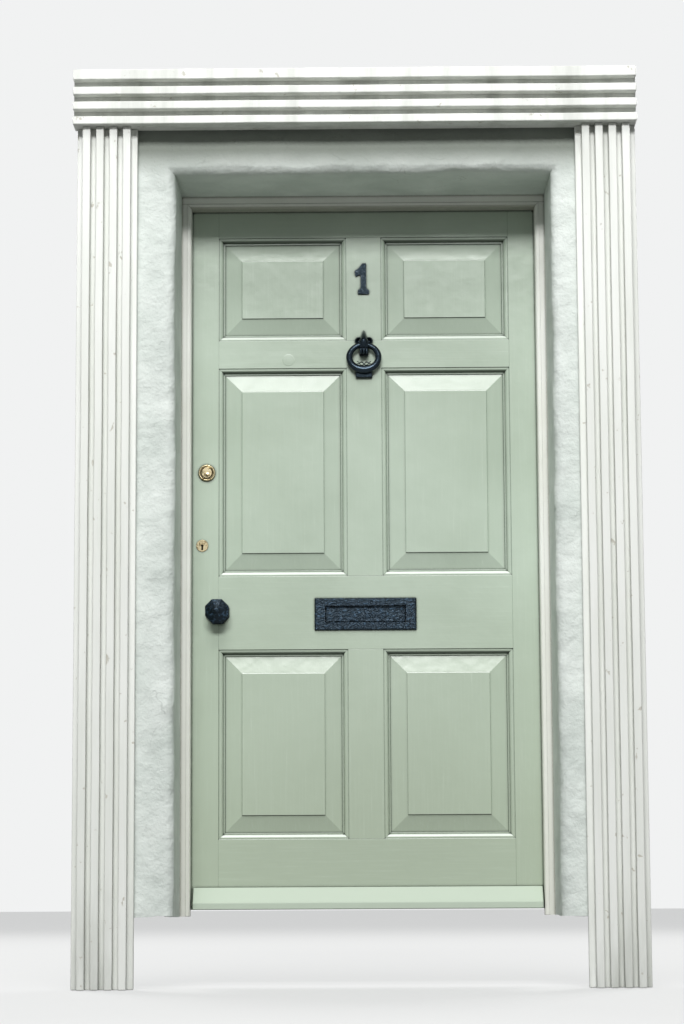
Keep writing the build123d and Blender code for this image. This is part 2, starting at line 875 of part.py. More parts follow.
def pull_knob():
    rose_front = leaf_y - knob_rose_thickness
    foot = rose_front - knob_neck_length
    back = foot - knob_back_length
    rim = back - knob_rim_length
    front = rim - knob_front_length
    body = rod_y(knob_neck_radius, foot, rose_front, knob_x, knob_z)
    body += faceted((leaf_y, knob_rose_edge), (rose_front, knob_rose_corner))
    body += faceted(
        (foot, knob_foot_corner),
        (back, knob_back_corner),
        (rim, knob_corner_radius),
        (front, knob_front_corner),
        (front - knob_boss_length, knob_boss_corner),
    )
    return body


# Rim cylinder and nightlatch

def cylinder_ring():
    ring = rod_y(cylinder_ring_radius, cylinder_front, leaf_y, cylinder_x, cylinder_z)
    return ring - rod_y(cylinder_radius + cylinder_play, cylinder_front, leaf_y, cylinder_x, cylinder_z)


def cylinder_body():
    front = cylinder_front - cylinder_stand_proud
    body = rod_y(cylinder_radius, front, inside_y, cylinder_x, cylinder_z)
    return body - rod_y(plug_radius + plug_play, front, inside_y, cylinder_x, plug_z)


def cylinder_plug():
    front = cylinder_front - cylinder_stand_proud
    half = keyway_width / 2
    z0 = plug_z - plug_radius
    keyway = block(cylinder_x - half, cylinder_x + half, front, front + keyway_depth, z0, z0 + keyway_height)
    return rod_y(plug_radius, front, inside_y, cylinder_x, plug_z) - keyway


def tail_bar():
    half_w = tail_bar_width / 2
    half_t = tail_bar_thickness / 2
    end = inside_y + tail_bar_reach
    return block(cylinder_x - half_t, cylinder_x + half_t, inside_y, end, plug_z - half_w, plug_z + half_w)


def nightlatch_case():
    x0 = -leaf_edge
    half = nightlatch_height / 2
    front = nightlatch_front
    body = block(x0, x0 + nightlatch_width, inside_y, front, cylinder_z - half, cylinder_z + half)
    body = chamfer(body.edges().filter_by(Axis.Y), nightlatch_corner)
    body = chamfer(body.faces().sort_by(Axis.Y)[-1].edges(), nightlatch_edge)
    body -= latch_bolt_channel()
    swing = tail_bar_width / 2 + tail_bar_play
    end = inside_y + tail_bar_reach + tail_bar_play
    body -= block(cylinder_x - swing, cylinder_x + swing, inside_y, end, plug_z - swing, plug_z + swing)
    body -= rod_y(spindle_radius + plug_play, front - spindle_reach, front, cylinder_x, cylinder_z)
    slot_z = cylinder_z - snib_drop
    half = snib_size / 2 + bolt_play
    floor = front - snib_slot_depth - bolt_play
    return body - block(
        cylinder_x - half, cylinder_x + half + snib_travel, floor, front, slot_z - half, slot_z + half
    )


def latch_bolt_channel():
    half = latch_bolt_height / 2 + bolt_play
    x1 = -leaf_edge + latch_bolt_length + bolt_play
    y0 = latch_bolt_y0 - bolt_play
    y1 = latch_bolt_y1 + bolt_play
    return block(-leaf_edge, x1, y0, y1, latch_bolt_z - half, latch_bolt_z + half)


def latch_bolt():
    # drawn back, its nose level with the leaf's edge
    half = latch_bolt_height / 2
    x0 = -leaf_edge
    x1 = x0 + latch_bolt_length
    corner_y = latch_bolt_y1 - latch_bolt_tip
    outline = closed(
        (x0, latch_bolt_y0),
        (x1, latch_bolt_y0),
        (x1, latch_bolt_y1),
        (x0 + latch_bolt_slope, latch_bolt_y1),
        (x0, corner_y),
    )
    return prism_along_z(outline, latch_bolt_z - half, latch_bolt_z + half)


def nightlatch_knob():
    front = nightlatch_front
    start = front + nightlatch_knob_neck
    end = start + nightlatch_knob_length
    turns = [radians(360 / nightlatch_knob_sides * k) for k in range(nightlatch_knob_sides)]
    r = nightlatch_knob_radius
    grip = prism_along_y(closed(*[(r * cos(turn), r * sin(turn)) for turn in turns]), start, end)
    ends = grip.faces().filter_by(Axis.Y).edges()
    grip = Pos(cylinder_x, 0, cylinder_z) * chamfer(ends, nightlatch_knob_edge)
    return grip + rod_y(spindle_radius, front - spindle_reach, start, cylinder_x, cylinder_z)


def latch_snib():
    half = snib_size / 2
    z = cylinder_z - snib_drop
    y0 = nightlatch_front - snib_slot_depth
    y1 = nightlatch_front + snib_height
    body = block(cylinder_x - half, cylinder_x + half, y0, y1, z - half, z + half)
    return chamfer(body.faces().sort_by(Axis.Y)[-1].edges(), snib_chamfer)


def latch_keep():
    # box keep on the jamb's inside face, open towards the leaf
    half = latch_bolt_height / 2 + keep_ear
    y1 = latch_bolt_y1 + keep_room + keep_wall
    body = block(keep_x - keep_width, keep_x, inside_y, y1, latch_bolt_z - half, latch_bolt_z + half)
    half = latch_bolt_height / 2 + keep_room
    x0 = keep_x - latch_bolt_throw
    y0 = latch_bolt_y0 - keep_room
    return body - block(x0, keep_x, y0, latch_bolt_y1 + keep_room, latch_bolt_z - half, latch_bolt_z + half)


# Mortice deadlock

def keyhole(y0, y1):
    half = keyhole_slot / 2
    slot = block(deadlock_x - half, deadlock_x + half, y0, y1, deadlock_z - keyhole_drop, deadlock_z)
    return slot + rod_y(keyhole_radius, y0, y1, deadlock_x, deadlock_z)


def deadlock_blank(gap=0.0):
    # case and forend, or with a gap the mortice cut for them
    x0 = -leaf_edge
    half_y = deadlock_case_thickness / 2 + gap
    half_z = deadlock_case_height / 2 + gap
    z = deadlock_case_z
    case = block(x0, x0 + deadlock_depth + gap, mid_y - half_y, mid_y + half_y, z - half_z, z + half_z)
    half_y = forend_width / 2 + gap
    half_z = forend_height / 2 + gap
    x1 = x0 + forend_thickness + gap
    return case + block(x0, x1, mid_y - half_y, mid_y + half_y, z - half_z, z + half_z)


def deadbolt(gap=0.0):
    half_y = deadbolt_thickness / 2 + gap
    half_z = deadbolt_height / 2 + gap
    x1 = -leaf_edge + deadbolt_length + gap
    return block(-leaf_edge, x1, mid_y - half_y, mid_y + half_y, deadbolt_z - half_z, deadbolt_z + half_z)


def deadlock_case():
    half = deadlock_case_thickness / 2
    return deadlock_blank() - deadbolt(bolt_play) - keyhole(mid_y - half, mid_y + half)


def escutcheon_outside():
    front = leaf_y - escutcheon_thickness
    return rod_y(escutcheon_radius, front, leaf_y, deadlock_x, deadlock_z) - keyhole(front, leaf_y)


def escutcheon_inside():
    back = inside_y + escutcheon_thickness
    half_x = inside_escutcheon_width / 2
    z0 = deadlock_z - keyhole_drop / 2 - inside_escutcheon_height / 2
    z1 = z0 + inside_escutcheon_height
    plate = block(deadlock_x - half_x, deadlock_x + half_x, inside_y, back, z0, z1)
    return plate - keyhole(inside_y, back)


def strike_box(grow):
    # the hollow behind the strike plate, or its outside with the wall added
    half_y = deadbolt_thickness / 2 + strike_box_room + grow
    half_z = deadbolt_height / 2 + strike_box_room + grow
    x0 = -rebate_x - strike_box_depth - grow
    return block(x0, -rebate_x, mid_y - half_y, mid_y + half_y, deadbolt_z - half_z, deadbolt_z + half_z)


def strike_blank(gap=0.0):
    # plate let into the rebate with its box, or with a gap the housing cut for them
    half_y = forend_width / 2 + gap
    half_z = forend_height / 2 + gap
    x0 = -rebate_x - strike_plate_thickness - gap
    z = deadlock_case_z
    plate = block(x0, -rebate_x, mid_y - half_y, mid_y + half_y, z - half_z, z + half_z)
    return plate + strike_box(strike_box_wall + gap)


def deadbolt_strike():
    return strike_blank() - strike_box(0)


# Finished members of the leaf and frame

def lock_stile():
    cylinder_hole = rod_y(cylinder_hole_radius, leaf_y, inside_y, cylinder_x, cylinder_z)
    return stile(-1) - deadlock_blank(case_play) - cylinder_hole - keyhole(leaf_y, inside_y)


def hinge_stile():
    return stile(1) - hinge_housings(-1)


def lock_rail():
    return rail("lock_rail") - letter_slot()


def lock_jamb():
    return jamb(-1) - strike_blank(case_play)


def hinge_jamb():
    return jamb(1) - hinge_housings(1)


def panels():
    found = {}
    for name, z0, z1 in panel_rows:
        found[f"panel_{name}_lock_side"] = panel(-stile_inner, -muntin_half, z0, z1)
        found[f"panel_{name}_hinge_side"] = panel(muntin_half, stile_inner, z0, z1)
    return found


def assemble():
    stop = stop_ring()
    parts = {
        "lock_jamb": lock_jamb(),
        "hinge_jamb": hinge_jamb(),
        "frame_head": frame_head(),
        "stop_lock_side": stop & side_stop_region(-1),
        "stop_hinge_side": stop & side_stop_region(1),
        "stop_head": stop - side_stop_region(-1) - side_stop_region(1),
        "render_lock_side": render_side(-1),
        "render_hinge_side": render_side(1),
        "render_head": render_head(),
        "pilaster_board_lock_side": pilaster_board(-1),
        "pilaster_board_hinge_side": pilaster_board(1),
        "pilaster_reeds_lock_side": pilaster_reeds(-1),
        "pilaster_reeds_hinge_side": pilaster_reeds(1),
        "surround_head_board": surround_head(),
        "surround_head_reeds": surround_head_reeds(),
        "lock_stile": lock_stile(),
        "hinge_stile": hinge_stile(),
        "bottom_rail": rail("bottom_rail"),
        "lock_rail": lock_rail(),
        "frieze_rail": rail("frieze_rail"),
        "top_rail": rail("top_rail"),
        "muntin_lower": muntin(lower_z0, lower_z1),
        "muntin_middle": muntin(middle_z0, middle_z1),
        "muntin_top": muntin(top_z0, top_z1),
        "weatherboard": weatherboard(),
        "hinge_plates_leaf": Compound(children=[hinge_half(level, -1) for level in hinge_levels]),
        "hinge_plates_frame": Compound(children=[hinge_half(level, 1) for level in hinge_levels]),
        "letter_plate": letter_plate(),
        "letter_flap": letter_flap(),
        "knocker_hanger": knocker_hanger(),
        "knocker_ring": knocker_ring(),
        "knocker_strike": knocker_strike(),
        "house_number": house_number(),
        "pull_knob": pull_knob(),
        "cylinder_ring": cylinder_ring(),
        "cylinder_body": cylinder_body(),
        "cylinder_plug": cylinder_plug(),
        "tail_bar": tail_bar(),
        "nightlatch_case": nightlatch_case(),
        "nightlatch_knob": nightlatch_knob(),
        "latch_bolt": latch_bolt(),
        "latch_snib": latch_snib(),
        "latch_keep": latch_keep(),
        "deadlock_case": deadlock_case(),
        "deadbolt": deadbolt(),
        "deadbolt_strike": deadbolt_strike(),
        "escutcheon_outside": escutcheon_outside(),
        "escutcheon_inside": escutcheon_inside(),
    }
    return parts | panels()


os.makedirs("parts", exist_ok=True)
for node, solid in assemble().items():
    export_step(solid, f"parts/{node}.step")
    print(node, round(solid.volume))
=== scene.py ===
import json
from math import atan2, cos, pi, radians, sin, sqrt

import bmesh
import bpy
from mathutils import Matrix, Vector, noise


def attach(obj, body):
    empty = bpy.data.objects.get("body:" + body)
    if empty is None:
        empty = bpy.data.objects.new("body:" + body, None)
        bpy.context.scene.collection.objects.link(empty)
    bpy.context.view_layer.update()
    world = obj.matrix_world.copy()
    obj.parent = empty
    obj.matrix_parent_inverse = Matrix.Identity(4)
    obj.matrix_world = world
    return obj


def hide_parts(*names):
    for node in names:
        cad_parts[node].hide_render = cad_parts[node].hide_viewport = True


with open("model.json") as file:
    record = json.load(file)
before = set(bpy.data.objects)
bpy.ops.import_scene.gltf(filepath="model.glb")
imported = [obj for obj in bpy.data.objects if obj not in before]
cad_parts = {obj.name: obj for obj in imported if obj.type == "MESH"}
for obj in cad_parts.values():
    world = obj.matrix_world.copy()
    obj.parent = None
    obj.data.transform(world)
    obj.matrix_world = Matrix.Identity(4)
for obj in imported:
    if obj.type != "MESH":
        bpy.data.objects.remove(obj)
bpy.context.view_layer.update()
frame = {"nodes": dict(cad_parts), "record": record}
bodies = frame["record"]["behaviour"]["bodies"]
bodyOf = {node: body for body, nodes in bodies.items() for node in nodes}
mm = 0.001                              # the pieces' own sizes are in mm
leafFront, leafBack = 296.0, 340.0      # street and house faces of the leaf
noise.seed_set(7)                       # without a seed, noise_vector differs from run to run
print("frame loaded:", len(bodyOf), "nodes")


def linear(hexColour):
    parts = [int(hexColour[i:i + 2], 16) / 255 for i in (1, 3, 5)]
    parts = [c / 12.92 if c <= 0.04045 else ((c + 0.055) / 1.055) ** 2.4 for c in parts]
    return (*parts, 1.0)


def addNode(tree, kind, inputs=None, **settings):
    # An input is a value, a hex colour, or (node, output) for a link.
    # A Mix node's inputs 0, 6 and 7 are its factor and two colours, and its output 2 is their mix.
    node = tree.nodes.new(kind)
    for name, value in settings.items():
        setattr(node, name, value)
    for name, value in (inputs or {}).items():
        if isinstance(value, tuple) and isinstance(value[0], bpy.types.Node):
            tree.links.new(value[0].outputs[value[1]], node.inputs[name])
        else:
            node.inputs[name].default_value = linear(value) if isinstance(value, str) else value
    return node


def emptyMaterial(name):
    material = bpy.data.materials.new(name)
    material.use_nodes = True
    material.node_tree.nodes.clear()
    return material, material.node_tree


# Oil paint laid on by brush along the grain, several coats thick: a satin sheen, fine lines along
# each member and soft sags about 40 mm long. A hair of the brush leaves a line under 1 mm wide;
# the lines are drawn 5 mm apart so that they show. Upward faces are painted paler as a painted
# highlight; downward faces, corners, and the paint lower down are painted darker as painted shade.
# Scales are marks to the metre, heights in metres.
brushMark = {
    "across": 200.0, "along": 7.0, "sag": 26.0, "tone": 2.4, "shadeTop": 0.95, "shadeFoot": 0.25}
sage = {
    "light": "#B8C6B6", "dark": "#ABB9A8", "low": "#A9B5A1", "streak": "#C1CDBF",
    "recess": "#2F392E", "paintedHighlight": "#E4ECE2"}
sageWorn = dict(sage, paintedHighlight="#B9C6B5", low="#B9C6B5")       # the weatherboard has no painted highlight or low painted shade: both are its light tone
cream = {
    "light": "#F3F4EE", "dark": "#E8E9E0", "low": "#E6E7DD", "streak": "#F8F8F3",
    "recess": "#96958A", "paintedHighlight": "#F6F6F0"}


def brushedPaint(name, colours, upright, roughness, marks, sags):
    material, tree = emptyMaterial(name)
    coords = addNode(tree, "ShaderNodeTexCoord")
    place = (coords, "Object")
    across, along = brushMark["across"], brushMark["along"]
    grain = addNode(tree, "ShaderNodeMapping", {
        "Vector": place, "Scale": (across, across, along) if upright else (along, across, across)})
    hairs = addNode(tree, "ShaderNodeTexNoise", {
        "Vector": (grain, "Vector"), "Scale": 1.0, "Detail": 3.0, "Roughness": 0.62})
    ripples = addNode(tree, "ShaderNodeTexNoise", {
        "Vector": place, "Scale": brushMark["sag"], "Detail": 2.0, "Roughness": 0.45})
    patches = addNode(tree, "ShaderNodeTexNoise", {
        "Vector": place, "Scale": brushMark["tone"], "Detail": 4.0, "Roughness": 0.55})
    toned = addNode(tree, "ShaderNodeMapRange", {
        "Value": (patches, "Fac"), "From Min": 0.36, "From Max": 0.66})
    body = addNode(tree, "ShaderNodeMix", {
        0: (toned, "Result"), 6: colours["light"], 7: colours["dark"]}, data_type="RGBA")
    thin = addNode(tree, "ShaderNodeMapRange", {
        "Value": (hairs, "Fac"), "From Min": 0.5, "From Max": 0.8, "To Max": 0.2})
    # Towards the bottom the paint is mixed to its low colour: a painted shade.
    height = addNode(tree, "ShaderNodeSeparateXYZ", {"Vector": place})
    lowShade = addNode(tree, "ShaderNodeMapRange", {
        "Value": (height, "Z"), "From Min": brushMark["shadeTop"],
        "From Max": brushMark["shadeFoot"], "To Max": 0.85})
    shadedLow = addNode(tree, "ShaderNodeMix", {
        0: (lowShade, "Result"), 6: (body, 2), 7: colours["low"]}, data_type="RGBA")
    streaked = addNode(tree, "ShaderNodeMix", {
        0: (thin, "Result"), 6: (shadedLow, 2), 7: colours["streak"]}, data_type="RGBA")
    facing = addNode(tree, "ShaderNodeSeparateXYZ", {"Vector": (coords, "Normal")})
    # Faces that face upward are mixed towards a paler colour: a painted highlight.
    upward = addNode(tree, "ShaderNodeMapRange", {
        "Value": (facing, "Z"), "From Min": 0.16, "From Max": 0.3, "To Max": 1.0})
    highlighted = addNode(tree, "ShaderNodeMix", {
        0: (upward, "Result"), 6: (streaked, 2), 7: colours["paintedHighlight"]}, data_type="RGBA")
    # Faces that face downward are mixed towards the dark recess colour: a painted shade.
    under = addNode(tree, "ShaderNodeMapRange", {
        "Value": (facing, "Z"), "From Min": -0.1, "From Max": -0.5, "To Max": 0.85})
    shaded = addNode(tree, "ShaderNodeMix", {
        0: (under, "Result"), 6: (highlighted, 2), 7: colours["recess"]}, data_type="RGBA")
    # Corners and creases, found by ambient occlusion, are mixed towards the recess colour: a
    # painted shade.
    corner = addNode(tree, "ShaderNodeAmbientOcclusion", {"Distance": 8 * mm}, samples=6)
    paintedShade = addNode(tree, "ShaderNodeMapRange", {
        "Value": (corner, "AO"), "From Min": 0.5, "From Max": 0.88, "To Min": 1.0, "To Max": 0.0})
    colour = addNode(tree, "ShaderNodeMix", {
        0: (paintedShade, "Result"), 6: (shaded, 2), 7: colours["recess"]}, data_type="RGBA")
    gloss = addNode(tree, "ShaderNodeMapRange", {
        "Value": (hairs, "Fac"), "From Min": 0.3, "From Max": 0.75,
        "To Min": roughness - 0.02, "To Max": roughness + 0.04})
    sagging = addNode(tree, "ShaderNodeBump", {
        "Height": (ripples, "Fac"), "Strength": sags, "Distance": 6 * mm})
    ribbed = addNode(tree, "ShaderNodeBump", {
        "Height": (hairs, "Fac"), "Normal": (sagging, "Normal"), "Strength": marks,
        "Distance": 0.6 * mm})
    shader = addNode(tree, "ShaderNodeBsdfPrincipled", {
        "Base Color": (colour, 2), "Roughness": (gloss, "Result"), "Normal": (ribbed, "Normal"),
        "Metallic": 0.0, "IOR": 1.5, "Specular IOR Level": 0.29})
    addNode(tree, "ShaderNodeOutputMaterial", {"Surface": (shader, "BSDF")})
    return material


sageUpright = brushedPaint("sageOilPaintUpright", sage, True, 0.24, 0.25, 0.14)
sageLevel = brushedPaint("sageOilPaintLevel", sage, False, 0.24, 0.25, 0.16)
sageBoard = brushedPaint("sageOilPaintWeatherboard", sageWorn, False, 0.4, 0.12, 0.1)
creamUpright = brushedPaint("creamGlossUpright", cream, True, 0.28, 0.3, 0.2)
creamLevel = brushedPaint("creamGlossLevel", cream, False, 0.28, 0.3, 0.2)


# White exterior paint on timber: flakes a few mm across have come off, and rain has streaked it
# grey under the head and at the foot. Its corners are painted darker as painted shade. Flakes are
# drawn about twice their size. Heights in metres.
weather = {
    "flake": 34.0, "flakeShare": 0.673, "stainTop": 2.10, "stainFoot": 0.1, "stainReach": 0.3,
    "white": "#E3E5E0", "worn": "#D8DBD4", "stain": "#8E9189", "bare": "#BDBBB0",
    "recess": "#A2A59F"}


def weatheredPaint(name, upright):
    material, tree = emptyMaterial(name)
    place = (addNode(tree, "ShaderNodeTexCoord"), "Object")
    grain = addNode(tree, "ShaderNodeMapping", {
        "Vector": place, "Scale": (150, 150, 4) if upright else (4, 150, 150)})
    hairs = addNode(tree, "ShaderNodeTexNoise", {
        "Vector": (grain, "Vector"), "Scale": 1.0, "Detail": 3.0, "Roughness": 0.6})
    flakes = addNode(tree, "ShaderNodeTexNoise", {
        "Vector": place, "Scale": weather["flake"], "Detail": 6.0, "Roughness": 0.6,
        "Distortion": 0.4})
    runs = addNode(tree, "ShaderNodeMapping", {"Vector": place, "Scale": (16, 16, 2.2)})
    stains = addNode(tree, "ShaderNodeTexNoise", {
        "Vector": (runs, "Vector"), "Scale": 1.0, "Detail": 6.0, "Roughness": 0.6})
    height = addNode(tree, "ShaderNodeSeparateXYZ", {"Vector": place})
    top = addNode(tree, "ShaderNodeMapRange", {
        "Value": (height, "Z"), "From Min": weather["stainTop"] - weather["stainReach"],
        "From Max": weather["stainTop"], "To Max": 0.35})
    foot = addNode(tree, "ShaderNodeMapRange", {
        "Value": (height, "Z"), "From Min": weather["stainFoot"],
        "From Max": weather["stainFoot"] - weather["stainReach"], "To Max": 0.5})
    exposed = addNode(
        tree, "ShaderNodeMath", {0: (top, "Result"), 1: (foot, "Result")}, operation="ADD")
    blotch = addNode(tree, "ShaderNodeMapRange", {
        "Value": (stains, "Fac"), "From Min": 0.42, "From Max": 0.7})
    dirt = addNode(
        tree, "ShaderNodeMath", {0: (exposed, 0), 1: (blotch, "Result")}, operation="MULTIPLY")
    body = addNode(tree, "ShaderNodeMix", {
        0: (blotch, "Result"), 6: weather["white"], 7: weather["worn"]}, data_type="RGBA")
    stained = addNode(tree, "ShaderNodeMix", {
        0: (dirt, 0), 6: (body, 2), 7: weather["stain"]}, data_type="RGBA")
    flaked = addNode(tree, "ShaderNodeMapRange", {
        "Value": (flakes, "Fac"), "From Min": weather["flakeShare"],
        "From Max": weather["flakeShare"] + 0.015})
    chipped = addNode(tree, "ShaderNodeMix", {
        0: (flaked, "Result"), 6: (stained, 2), 7: weather["bare"]}, data_type="RGBA")
    # Corners, found by ambient occlusion, are mixed towards the recess colour: a painted shade.
    corner = addNode(tree, "ShaderNodeAmbientOcclusion", {"Distance": 5 * mm}, samples=6)
    paintedShade = addNode(tree, "ShaderNodeMapRange", {
        "Value": (corner, "AO"), "From Min": 0.3, "From Max": 0.62, "To Min": 0.6, "To Max": 0.0})
    colour = addNode(tree, "ShaderNodeMix", {
        0: (paintedShade, "Result"), 6: (chipped, 2), 7: weather["recess"]}, data_type="RGBA")
    ribbed = addNode(tree, "ShaderNodeBump", {
        "Height": (hairs, "Fac"), "Strength": 0.3, "Distance": 0.5 * mm})
    lost = addNode(tree, "ShaderNodeBump", {
        "Height": (flaked, "Result"), "Normal": (ribbed, "Normal"), "Strength": 0.6,
        "Distance": 0.5 * mm}, invert=True)
    shader = addNode(tree, "ShaderNodeBsdfPrincipled", {
        "Base Color": (colour, 2), "Normal": (lost, "Normal"), "Roughness": 0.48,
        "Metallic": 0.0, "IOR": 1.5})
    addNode(tree, "ShaderNodeOutputMaterial", {"Surface": (shader, "BSDF")})
    return material


whiteUpright = weatheredPaint("whiteExteriorPaintUpright", True)
whiteLevel = weatheredPaint("whiteExteriorPaintLevel", False)


# Trowelled lime render under many coats of masonry paint: lumpy, gritty and matt. Its hair
# cracks are drawn 3 mm wide so that they show. Under the head it is painted darker upwards as
# painted shade, and its corners are painted darker as painted shade.
limeRender = {
    "lump": 16.0, "grit": 170.0, "drift": 7.0, "crackCell": 2.1, "crackWidth": 0.006,
    "headShadeFrom": 1.93, "headShadeFull": 2.0, "light": "#D9DFDA", "dark": "#C3CBC5",
    "crack": "#868C86", "headShade": "#767D72", "recess": "#7E857E"}


def limewashedRender():
    material, tree = emptyMaterial("paintedLimeRender")
    place = (addNode(tree, "ShaderNodeTexCoord"), "Object")
    lumps = addNode(tree, "ShaderNodeTexNoise", {
        "Vector": place, "Scale": limeRender["lump"], "Detail": 5.0, "Roughness": 0.55})
    grit = addNode(tree, "ShaderNodeTexNoise", {
        "Vector": place, "Scale": limeRender["grit"], "Detail": 4.0, "Roughness": 0.6})
    drift = addNode(tree, "ShaderNodeTexNoise", {
        "Vector": place, "Scale": limeRender["drift"], "Detail": 4.0})
    bent = addNode(tree, "ShaderNodeVectorMath", {
        0: (drift, "Color"), 1: (0.22, 0.22, 0.22), 2: place}, operation="MULTIPLY_ADD")
    plates = addNode(tree, "ShaderNodeTexVoronoi", {
        "Vector": (bent, "Vector"), "Scale": limeRender["crackCell"]}, feature="DISTANCE_TO_EDGE")
    line = addNode(tree, "ShaderNodeMapRange", {
        "Value": (plates, "Distance"), "From Max": limeRender["crackWidth"],
        "To Min": 1.0, "To Max": 0.0})
    opened = addNode(tree, "ShaderNodeMapRange", {
        "Value": (lumps, "Fac"), "From Min": 0.5, "From Max": 0.62, "To Max": 0.35})
    crack = addNode(
        tree, "ShaderNodeMath", {0: (line, "Result"), 1: (opened, "Result")}, operation="MULTIPLY")
    tone = addNode(tree, "ShaderNodeMapRange", {
        "Value": (drift, "Fac"), "From Min": 0.35, "From Max": 0.7})
    body = addNode(tree, "ShaderNodeMix", {
        0: (tone, "Result"), 6: limeRender["light"], 7: limeRender["dark"]}, data_type="RGBA")
    cracked = addNode(tree, "ShaderNodeMix", {
        0: (crack, 0), 6: (body, 2), 7: limeRender["crack"]}, data_type="RGBA")
    # Under the head the render is mixed towards a darker colour, more so upwards: a painted shade.
    height = addNode(tree, "ShaderNodeSeparateXYZ", {"Vector": place})
    headShade = addNode(tree, "ShaderNodeMapRange", {
        "Value": (height, "Z"), "From Min": limeRender["headShadeFrom"],
        "From Max": limeRender["headShadeFull"], "To Max": 0.85})
    shadedUnderHead = addNode(tree, "ShaderNodeMix", {
        0: (headShade, "Result"), 6: (cracked, 2), 7: limeRender["headShade"]}, data_type="RGBA")
    # Corners, found by ambient occlusion, are mixed towards the recess colour: a painted shade.
    corner = addNode(tree, "ShaderNodeAmbientOcclusion", {"Distance": 30 * mm}, samples=6)
    paintedShade = addNode(tree, "ShaderNodeMapRange", {
        "Value": (corner, "AO"), "From Min": 0.25, "From Max": 0.6, "To Min": 0.9, "To Max": 0.0})
    colour = addNode(tree, "ShaderNodeMix", {
        0: (paintedShade, "Result"), 6: (shadedUnderHead, 2), 7: limeRender["recess"]}, data_type="RGBA")
    swelling = addNode(tree, "ShaderNodeBump", {
        "Height": (lumps, "Fac"), "Strength": 0.9, "Distance": 12 * mm})
    gritty = addNode(tree, "ShaderNodeBump", {
        "Height": (grit, "Fac"), "Normal": (swelling, "Normal"), "Strength": 0.6,
        "Distance": 1.5 * mm})
    shader = addNode(tree, "ShaderNodeBsdfPrincipled", {
        "Base Color": (colour, 2), "Normal": (gritty, "Normal"), "Roughness": 0.7, "Metallic": 0.0})
    addNode(tree, "ShaderNodeOutputMaterial", {"Surface": (shader, "BSDF")})
    return material


renderPaint = limewashedRender()


# Cast iron under gloss black: the crests of its ripples are painted a thin blue-grey, a painted
# glint of light, and its corners are painted near black as painted shade. Marks, their depth and
# the reach of a corner are in mm.
iron = {"body": "#070C10", "recess": "#020303", "tint": "#AFCBE2"}


def blackedIron(name, mark, depth, glintColour, reach, gloss, roughness):
    material, tree = emptyMaterial(name)
    place = (addNode(tree, "ShaderNodeTexCoord"), "Object")
    fine = 1 / (mark * mm)
    wide = addNode(tree, "ShaderNodeMapping", {"Vector": place, "Scale": (0.6 * fine, fine, fine)})
    marks = addNode(tree, "ShaderNodeTexNoise", {
        "Vector": (wide, "Vector"), "Scale": 1.0, "Detail": 2.0, "Roughness": 0.5,
        "Distortion": 1.0})
    # Crests of the marks are mixed towards a pale colour: painted glints of light.
    glints = addNode(tree, "ShaderNodeMapRange", {
        "Value": (marks, "Fac"), "From Min": 0.54, "From Max": 0.74})
    body = addNode(tree, "ShaderNodeMix", {
        0: (glints, "Result"), 6: iron["body"], 7: glintColour}, data_type="RGBA")
    # Corners, found by ambient occlusion, are mixed towards near black: a painted shade.
    corner = addNode(tree, "ShaderNodeAmbientOcclusion", {"Distance": reach * mm}, samples=6)
    deep = addNode(tree, "ShaderNodeMapRange", {
        "Value": (corner, "AO"), "From Min": 0.62, "From Max": 0.96, "To Min": 1.0, "To Max": 0.0})
    colour = addNode(tree, "ShaderNodeMix", {
        0: (deep, "Result"), 6: (body, 2), 7: iron["recess"]}, data_type="RGBA")
    shine = addNode(tree, "ShaderNodeMapRange", {
        "Value": (corner, "AO"), "From Min": 0.7, "From Max": 0.98,
        "To Min": 0.02, "To Max": gloss})
    rippled = addNode(tree, "ShaderNodeBump", {
        "Height": (marks, "Fac"), "Strength": 0.9, "Distance": depth * mm})
    shader = addNode(tree, "ShaderNodeBsdfPrincipled", {
        "Base Color": (colour, 2), "Normal": (rippled, "Normal"), "Roughness": roughness,
        "Metallic": 0.0, "IOR": 1.5, "Specular IOR Level": (shine, "Result"),
        "Specular Tint": iron["tint"]})
    addNode(tree, "ShaderNodeOutputMaterial", {"Surface": (shader, "BSDF")})
    return material


ironRippled = blackedIron("blackPaintedCastIronRippled", 5.0, 2.4, "#3F566B", 6.0, 0.4, 0.28)
ironSmooth = blackedIron("blackPaintedCastIron", 4.5, 0.3, "#0E1820", 1.5, 0.5, 0.17)
ironSpeckled = blackedIron("blackPaintedCastIronPaleGlints", 2.6, 1.5, "#76838E", 2.5, 0.36, 0.28)


